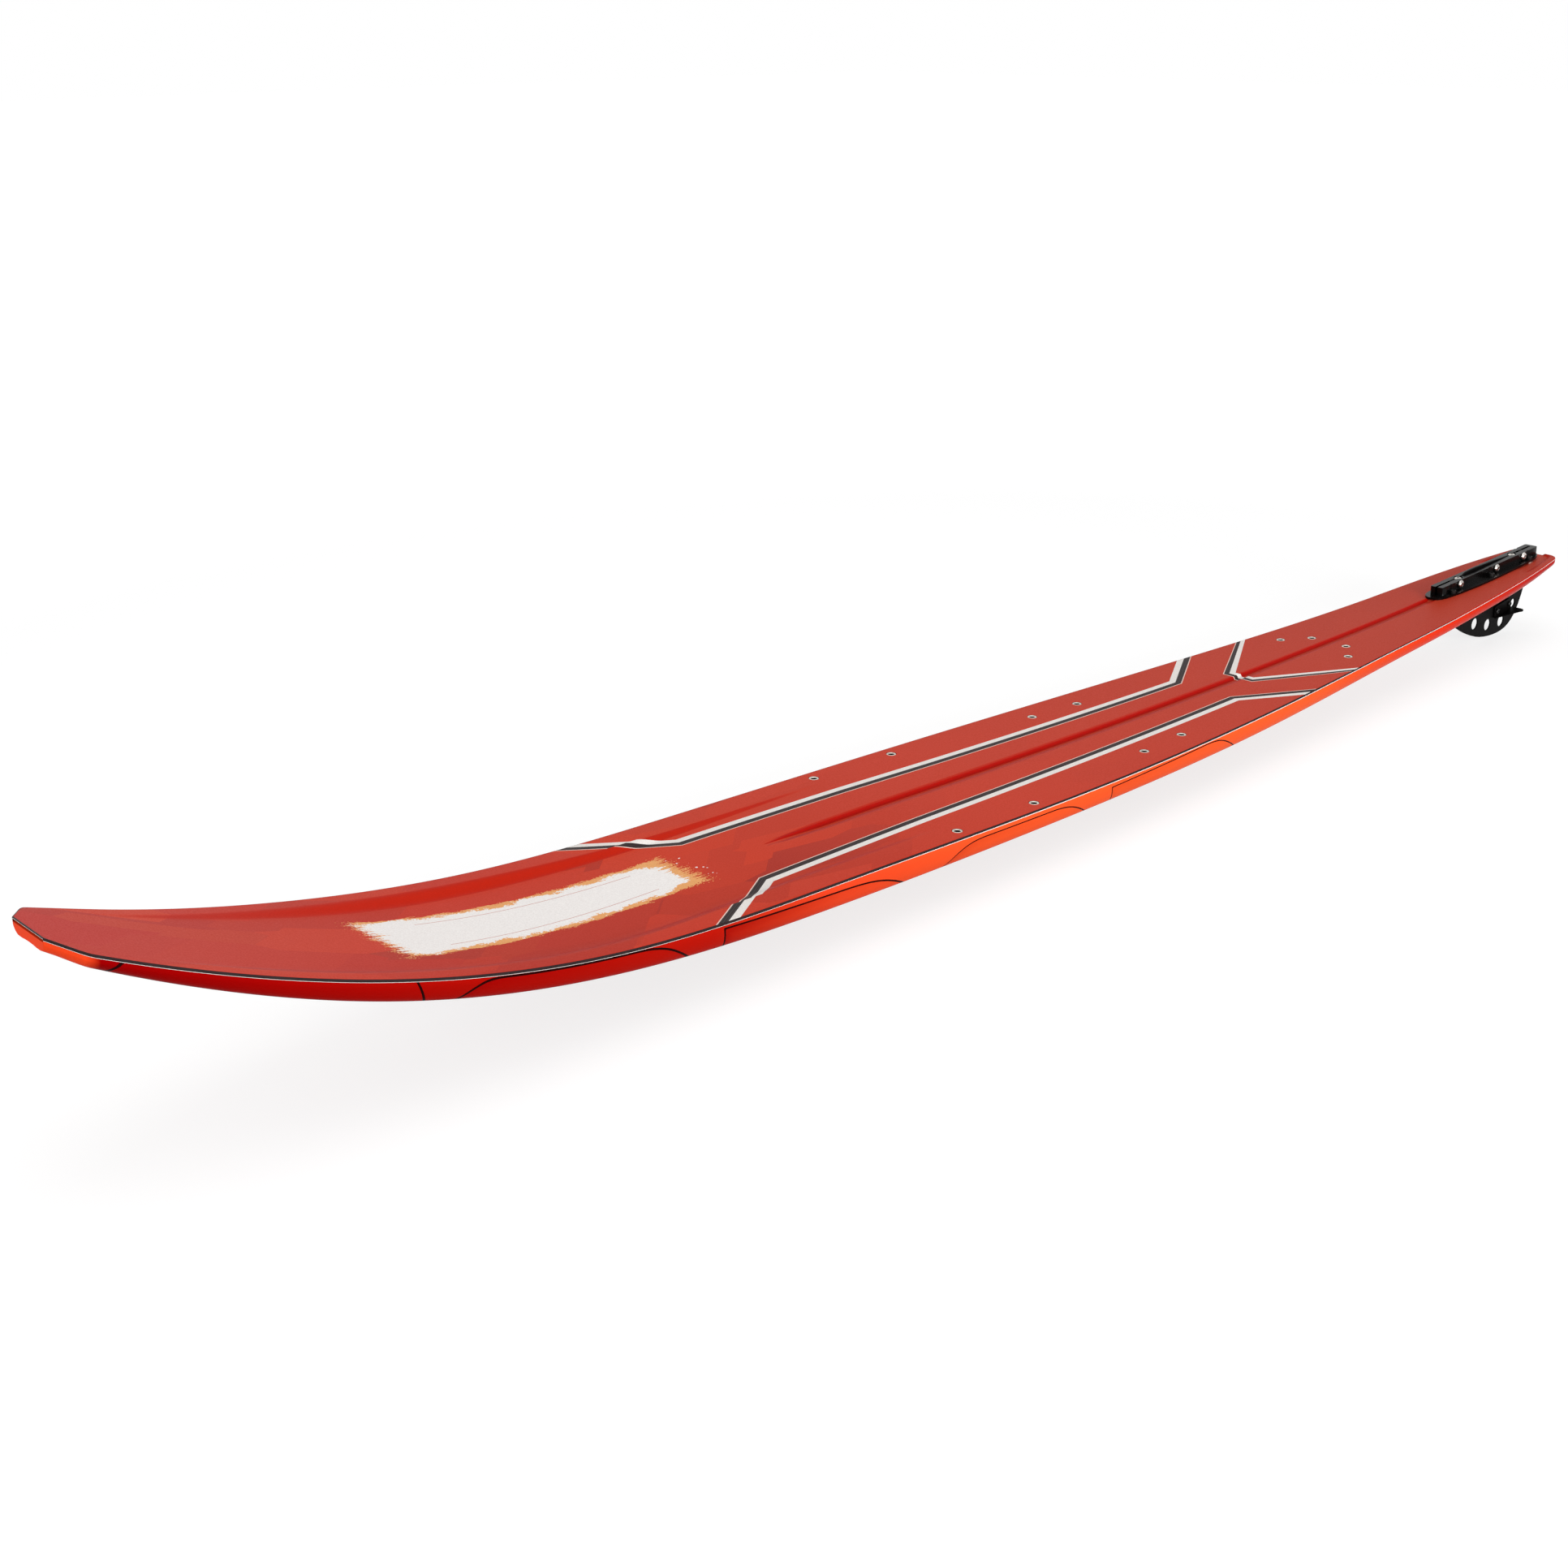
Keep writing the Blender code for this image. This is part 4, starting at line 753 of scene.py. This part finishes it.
def makeBaseLaminate():
    # pigmented gel under a polished clear coat: deep glossy orange to crimson
    g = gelCoat
    made, tree, shader = newMaterial("polishedGelCoat", {"Specular IOR Level": g["specular"]})
    surface = add(tree, "SeparateXYZ", (add(tree, "UVMap", uv_map="surface"),), out=None)
    along, drop = surface.outputs[0], surface.outputs[1]
    place = add(tree, "CombineXYZ", (along, drop, 1.0))
    ramp = add(tree, "ValToRGB", (add(tree, "MapRange", (along, noseY, tailY)),), out=None)
    stops = ramp.color_ramp.elements
    for k, (y, code) in enumerate(g["along"]):
        at = (y - noseY) / ski["length"]
        stop = stops.new(at) if k else stops[0]
        stop.position, stop.color = at, linear(code)
    stops.remove(stops[-1])
    coats = []
    # inside a panel the colour deepens towards its front end and its line
    for panel, wide, (front, rear) in zip(g["panels"], g["lineWide"], g["rounding"]):
        lines = distances(tree, place, [lineValue(panel[k], panel[k + 1]) for k in range(3)])
        inner = lowest(tree, [lowest(tree, lines[:2], front), lines[2]], rear)
        deepen = [add(tree, "MapRange", (along, panel[0][0], panel[2][0], *g["insideEnds"])),
                  add(tree, "MapRange", (inner, *g["insideRim"])), add(tree, "MapRange", (along, *g["insideFore"]))]
        coats += [(within(tree, inner, 0, 1, *deepen), g["inside"]), (within(tree, inner, -wide, wide), g["line"])]
    for joint in g["joints"]:
        value = distances(tree, place, [lineValue(*joint)])[0]
        coats.append((within(tree, value, -g["lineWide"][0], g["lineWide"][0]), g["line"]))
    spot = add(tree, "TexCoord", out="Object")
    scuff = add(tree, "TexNoise", {"Vector": spot, **g["scuffs"]})
    wave = add(tree, "TexNoise", {"Vector": spot, **g["waves"]})
    wire(tree, shader, {
        "Base Color": paintOver(tree, ramp.outputs[0], coats),
        "Roughness": add(tree, "MapRange", (scuff, *g["roughChange"])),
        "Normal": add(tree, "Bump", {"Height": wave, **g["bump"]})})
    return made


def dress(piece, *materials):
    piece.data.materials.clear()
    for material in materials:
        piece.data.materials.append(material)


dress(deckSkin, makeDeckLaminate())
dress(baseSkin, makeBaseLaminate())


print("metal finishes")
finishes = {
    # colour, metallic, specular, roughness low and high, grain per metre on X, Y and Z, strength of the bump
    # the grain is 0.4 to 6 mm, coarser than the real marks of under 0.1 mm, so that it shows
    # bead blasted and dyed: the oxide covers the metal, so it is near black with a soft sheen
    "blackAnodisedAluminium": ("#060505", 0.0, 0.10, (0.18, 0.30), (900, 900, 900), 0.05),
    # rolled sheet, dyed: duller than the block, with its grain drawn out along the sheet
    "satinAnodisedPlate": ("#070505", 0.0, 0.025, (0.34, 0.50), (1400, 160, 160), 0.06),
    # tumbled bright: clear reflections with a little haze
    "polishedStainlessSteel": ("#cfcac4", 1.0, 0.50, (0.14, 0.30), (1600, 1600, 1600), 0.04),
    # dipped black: dark with a metal glint at its edges
    "blackOxideSteel": ("#1a1918", 0.6, 0.50, (0.28, 0.46), (1800, 1800, 1800), 0.06),
    # turned and passivated: a soft grey silver
    "passivatedSteel": ("#c9c2b8", 1.0, 0.50, (0.22, 0.40), (2400, 2400, 2400), 0.06),
    # steel thread deep in a bore, where light hardly reaches: dull and dark
    "unlitThread": ("#241f1c", 0.3, 0.10, (0.50, 0.70), (1800, 1800, 1800), 0.06),
    # sawn foam: chalky and pitted
    "closedCellFoam": ("#d8cba8", 0.0, 0.20, (0.85, 0.97), (700, 700, 700), 0.30),
}
handling = {
    "grain": {"Scale": 1.0, "Detail": 4.0, "Roughness": 0.6}, "grainDepth": 0.00008,
    "clouds": {"Scale": 60.0, "Detail": 3.0}, "cloudChange": (0.4, 0.7, 0.0, 1.0), "darker": 0.72,
}


def makeFinish(name):
    # fine grain in roughness and bump, as bead blasting, rolling or turning leaves it
    code, metal, specular, rough, scale, strength = finishes[name]
    made, tree, shader = newMaterial(name, {"Metallic": metal, "Specular IOR Level": specular})
    spot = add(tree, "TexCoord", out="Object")
    drawn = add(tree, "Mapping", {"Vector": spot, "Scale": scale})
    grain = add(tree, "TexNoise", {"Vector": drawn, **handling["grain"]})
    # slow colour change over 17 mm, as handling and water leave it
    cloud = add(tree, "TexNoise", {"Vector": spot, **handling["clouds"]})
    darker = tuple(handling["darker"] * c for c in linear(code)[:3]) + (1.0,)
    wire(tree, shader, {
        "Base Color": paintOver(tree, code, [(add(tree, "MapRange", (cloud, *handling["cloudChange"])), darker)]),
        "Roughness": add(tree, "MapRange", (grain, *noiseSpan, *rough)),
        "Normal": add(tree, "Bump", {"Strength": strength, "Distance": handling["grainDepth"], "Height": grain})})
    return made


finish = {name: makeFinish(name) for name in finishes}


def wear(piece, name, body, slotName, *replaced):
    # gives a piece its finish and its body, and hides the CAD nodes that it stands for
    dress(piece, finish[name])
    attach(piece, body)
    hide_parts(*replaced)


print("inserts and screws")
pole = 0.0002  # turned pieces close with a face of this radius


def insertProfile():
    # flanged barrel with a small chamfer and a bore whose wall is a zigzag thread
    r, b, foot, pitch = inserts["barrel"], inserts["bore"], -inserts["length"], inserts["pitch"]
    chamfer, mouth, deep = inserts["chamfer"], inserts["boreChamfer"], inserts["boreDepth"]
    ledge = foot + inserts["flangeThick"]
    rows = [(pole, foot), (inserts["flange"], foot), (inserts["flange"], ledge), (r, ledge), (r, -chamfer),
            (r - chamfer, 0.0), (b + mouth, 0.0), (b, -mouth)]
    for k in range(int((deep - 2 * mouth) / pitch)):
        z = -mouth - k * pitch
        rows += [(b, z - inserts["threadFoot"] * pitch),
                 (b + inserts["thread"], z - inserts["threadPeak"] * pitch), (b, z - pitch)]
    return rows + [(b, -deep), (pole, -deep)]


profile = insertProfile()
rows = np.array(profile)
# the bore below its mouth is a finish of its own, and so is the face that closes it
inBore = (np.maximum(rows[:-1, 0], rows[1:, 0]) < inserts["barrel"]) & (rows[1:, 1] < -inserts["boreChamfer"])
materialOf = np.concatenate([np.repeat(inBore, inserts["sides"]), [False, True]]).astype(np.int32)
for number, (place, axes) in enumerate(insertPlaces(), 1):
    ring = pieceFrom("bindingInsert%02d" % number, *turned(profile, inserts["sides"], place, axes))
    wear(ring, "passivatedSteel", "ski", "insert_steel", "binding_insert_%02d" % number)
    ring.data.materials.append(finish["unlitThread"])
    ring.data.polygons.foreach_set("material_index", materialOf)

block = {
    "rearY": 0.8365, "railHalf": 0.0070,
    # places are distances forward from the block's rear end; seats are heights above the deck
    "mountScrews": [0.0230, 0.1015, 0.1780], "mountHalf": 0.0094, "mountSeat": 0.0021, "mountLength": 0.0062,
    "clampScrews": [0.0326, 0.0882, 0.1602], "clampHeight": 0.0070, "clampRoom": 0.0003, "clampLength": 0.0140,
    "depthScrews": [0.0441, 0.1528], "depthSeat": 0.0085, "depthLength": 0.0107,
}
blockHeight = float(deckHeight(np.array(block["rearY"])))
blockSlope = math.atan2(ski["straightRise"], ski["straightLength"])
aft = np.array([0.0, math.cos(blockSlope), math.sin(blockSlope)])
above = np.array([0.0, -math.sin(blockSlope), math.cos(blockSlope)])
upright, sideways = (across, aft, above), (above, aft, across)


def onBlock(x, s, h):
    # s forward from the block's rear end, h above the deck
    return np.array([x, block["rearY"], blockHeight]) - s * aft + h * above


screwSides = 48
domeScrew = {
    "shank": 0.00175, "shankChamfer": 0.0003, "head": 0.0043, "height": 0.0026, "edge": 0.0002,
    # dome: share of the height under it, its arc in degrees, rows, and a power that fills its shoulder out
    "foot": 0.20, "arc": (8, 76), "rows": 9, "fullness": 0.8,
    # socket: radius, flat rim around it, and depth of its wall and its point as shares of the height
    "socket": 0.0015, "rim": 1.10, "rimRoom": 1.2, "lip": 0.0001, "wall": 0.35, "point": 0.25,
}
capScrew = {
    "shank": 0.00175, "head": 0.0030, "height": 0.0034, "edge": 0.0002, "chamfer": 0.0004,
    "socket": 0.0015, "rim": 0.0018, "wall": 0.0018, "point": 0.0020,
}


def domeHead(seat, length):
    # shank, round-edged foot, a dome of radius cos^0.8 and height sin, and a hexagon socket
    g = domeScrew
    shank, head, height, socket, edge = [g[key] for key in ("shank", "head", "height", "socket", "edge")]
    low, chamfer = seat - length, g["shankChamfer"]
    angle = np.radians(np.linspace(*g["arc"], g["rows"]))
    reach = head * np.cos(angle) ** g["fullness"]
    rise = seat + height * (g["foot"] + (1 - g["foot"]) * np.sin(angle) / math.sin(angle[-1]))
    dome = [(r, z) for r, z in zip(reach, rise) if r > g["rimRoom"] * socket]
    top = dome[-1][1]
    side = [(pole, low), (shank - chamfer, low), (shank, low + chamfer), (shank, seat),
            (head - edge, seat), (head, seat + edge), (head, seat + g["foot"] * height)]
    well = [(g["rim"] * socket, top), (socket, top - g["lip"], 1), (socket, seat + g["wall"] * height, 1),
            (pole, seat + g["point"] * height)]
    return side + dome + well


def capHead(seat, length):
    # socket head: upright side, small chamfer, hexagon socket
    g = capScrew
    shank, head, socket, edge, chamfer = [g[key] for key in ("shank", "head", "socket", "edge", "chamfer")]
    low, top = seat - length, seat + g["height"]
    return [(pole, low), (shank, low), (shank, seat), (head - edge, seat), (head, seat + edge),
            (head, top - chamfer), (head - chamfer, top), (g["rim"], top), (socket, top - edge, 1),
            (socket, top - g["wall"], 1), (pole, top - g["point"])]


def makeScrew(name, profile, place, axes):
    return pieceFrom(name, *turned(profile, screwSides, place, axes))


mounts = [(side * block["mountHalf"], s) for s in block["mountScrews"] for side in (-1, 1)]
for number, (x, s) in enumerate(mounts, 1):
    profile = capHead(block["mountSeat"], block["mountLength"])
    screw = makeScrew("blockScrew%d" % number, profile, onBlock(x, s, 0), upright)
    wear(screw, "blackOxideSteel", "ski", "black_screw", "block_screw_%d" % number)
for number, s in enumerate(block["clampScrews"], 1):
    profile = domeHead(block["railHalf"] + block["clampRoom"], block["clampLength"])
    screw = makeScrew("clampScrew%d" % number, profile, onBlock(0, s, block["clampHeight"]), sideways)
    wear(screw, "polishedStainlessSteel", "clamp_screw_%d" % number, "stainless", "clamp_screw_%d" % number)
for number, s in enumerate(block["depthScrews"], 1):
    profile = domeHead(block["depthSeat"], block["depthLength"])
    screw = makeScrew("depthScrew%d" % number, profile, onBlock(0, s, 0), upright)
    wear(screw, "polishedStainlessSteel", "depth_screw_%d" % number, "stainless", "depth_screw_%d" % number)


print("fin block, fin and wing")
plates = {
    # CAD node, finish, body, slot, width of the broken edge
    "finBlock": ("fin_block", "blackAnodisedAluminium", "ski", "block_aluminium", 0.00028),
    "finPlate": ("fin", "satinAnodisedPlate", "fin", "fin_aluminium", 0.00018),
    "wingLeft": ("wing_left", "satinAnodisedPlate", "wing", "fin_aluminium", 0.00016),
    "wingRight": ("wing_right", "satinAnodisedPlate", "wing", "fin_aluminium", 0.00016),
    "depthNut1": ("depth_nut_1", "polishedStainlessSteel", "depth_nuts", "stainless", 0.0002),
    "depthNut2": ("depth_nut_2", "polishedStainlessSteel", "depth_nuts", "stainless", 0.0002),
}
merging = {"distance": 0.000002, "flatAngle": math.radians(0.6), "bevelSegments": 2}


def softened(name, source, width):
    # a merged copy of a CAD node with its flat faces joined and its edges broken
    mesh = nodes[source].data.copy()
    mesh.name = name
    work = bmesh.new()
    work.from_mesh(mesh)
    bmesh.ops.remove_doubles(work, verts=work.verts, dist=merging["distance"])
    bmesh.ops.dissolve_limit(work, angle_limit=merging["flatAngle"], verts=work.verts, edges=work.edges)
    work.to_mesh(mesh)
    work.free()
    mesh.shade_smooth()
    mesh.set_sharp_from_angle(angle=sharpAngle)
    made = newObject(name, mesh)
    edges = made.modifiers.new("brokenEdges", "BEVEL")
    edges.limit_method, edges.angle_limit = "ANGLE", sharpAngle
    edges.width, edges.segments, edges.use_clamp_overlap = width, merging["bevelSegments"], True
    edges.harden_normals = True
    return made


for name, (node, finishName, body, slotName, width) in plates.items():
    wear(softened(name, node, width), finishName, body, slotName, node)

# CAD nodes that stay as they are and only get a finish
kept = {"foam_core": "closedCellFoam", "wing_screw_front": "blackOxideSteel", "wing_screw_rear": "blackOxideSteel",
        "wing_nut_front": "blackOxideSteel", "wing_nut_rear": "blackOxideSteel"}
kept.update({"block_insert_%d" % number: "passivatedSteel" for number in range(1, 7)})
for node, finishName in kept.items():
    dress(nodes[node], finish[finishName])

bpy.context.scene.view_settings.view_transform = "Standard"
print("finished")
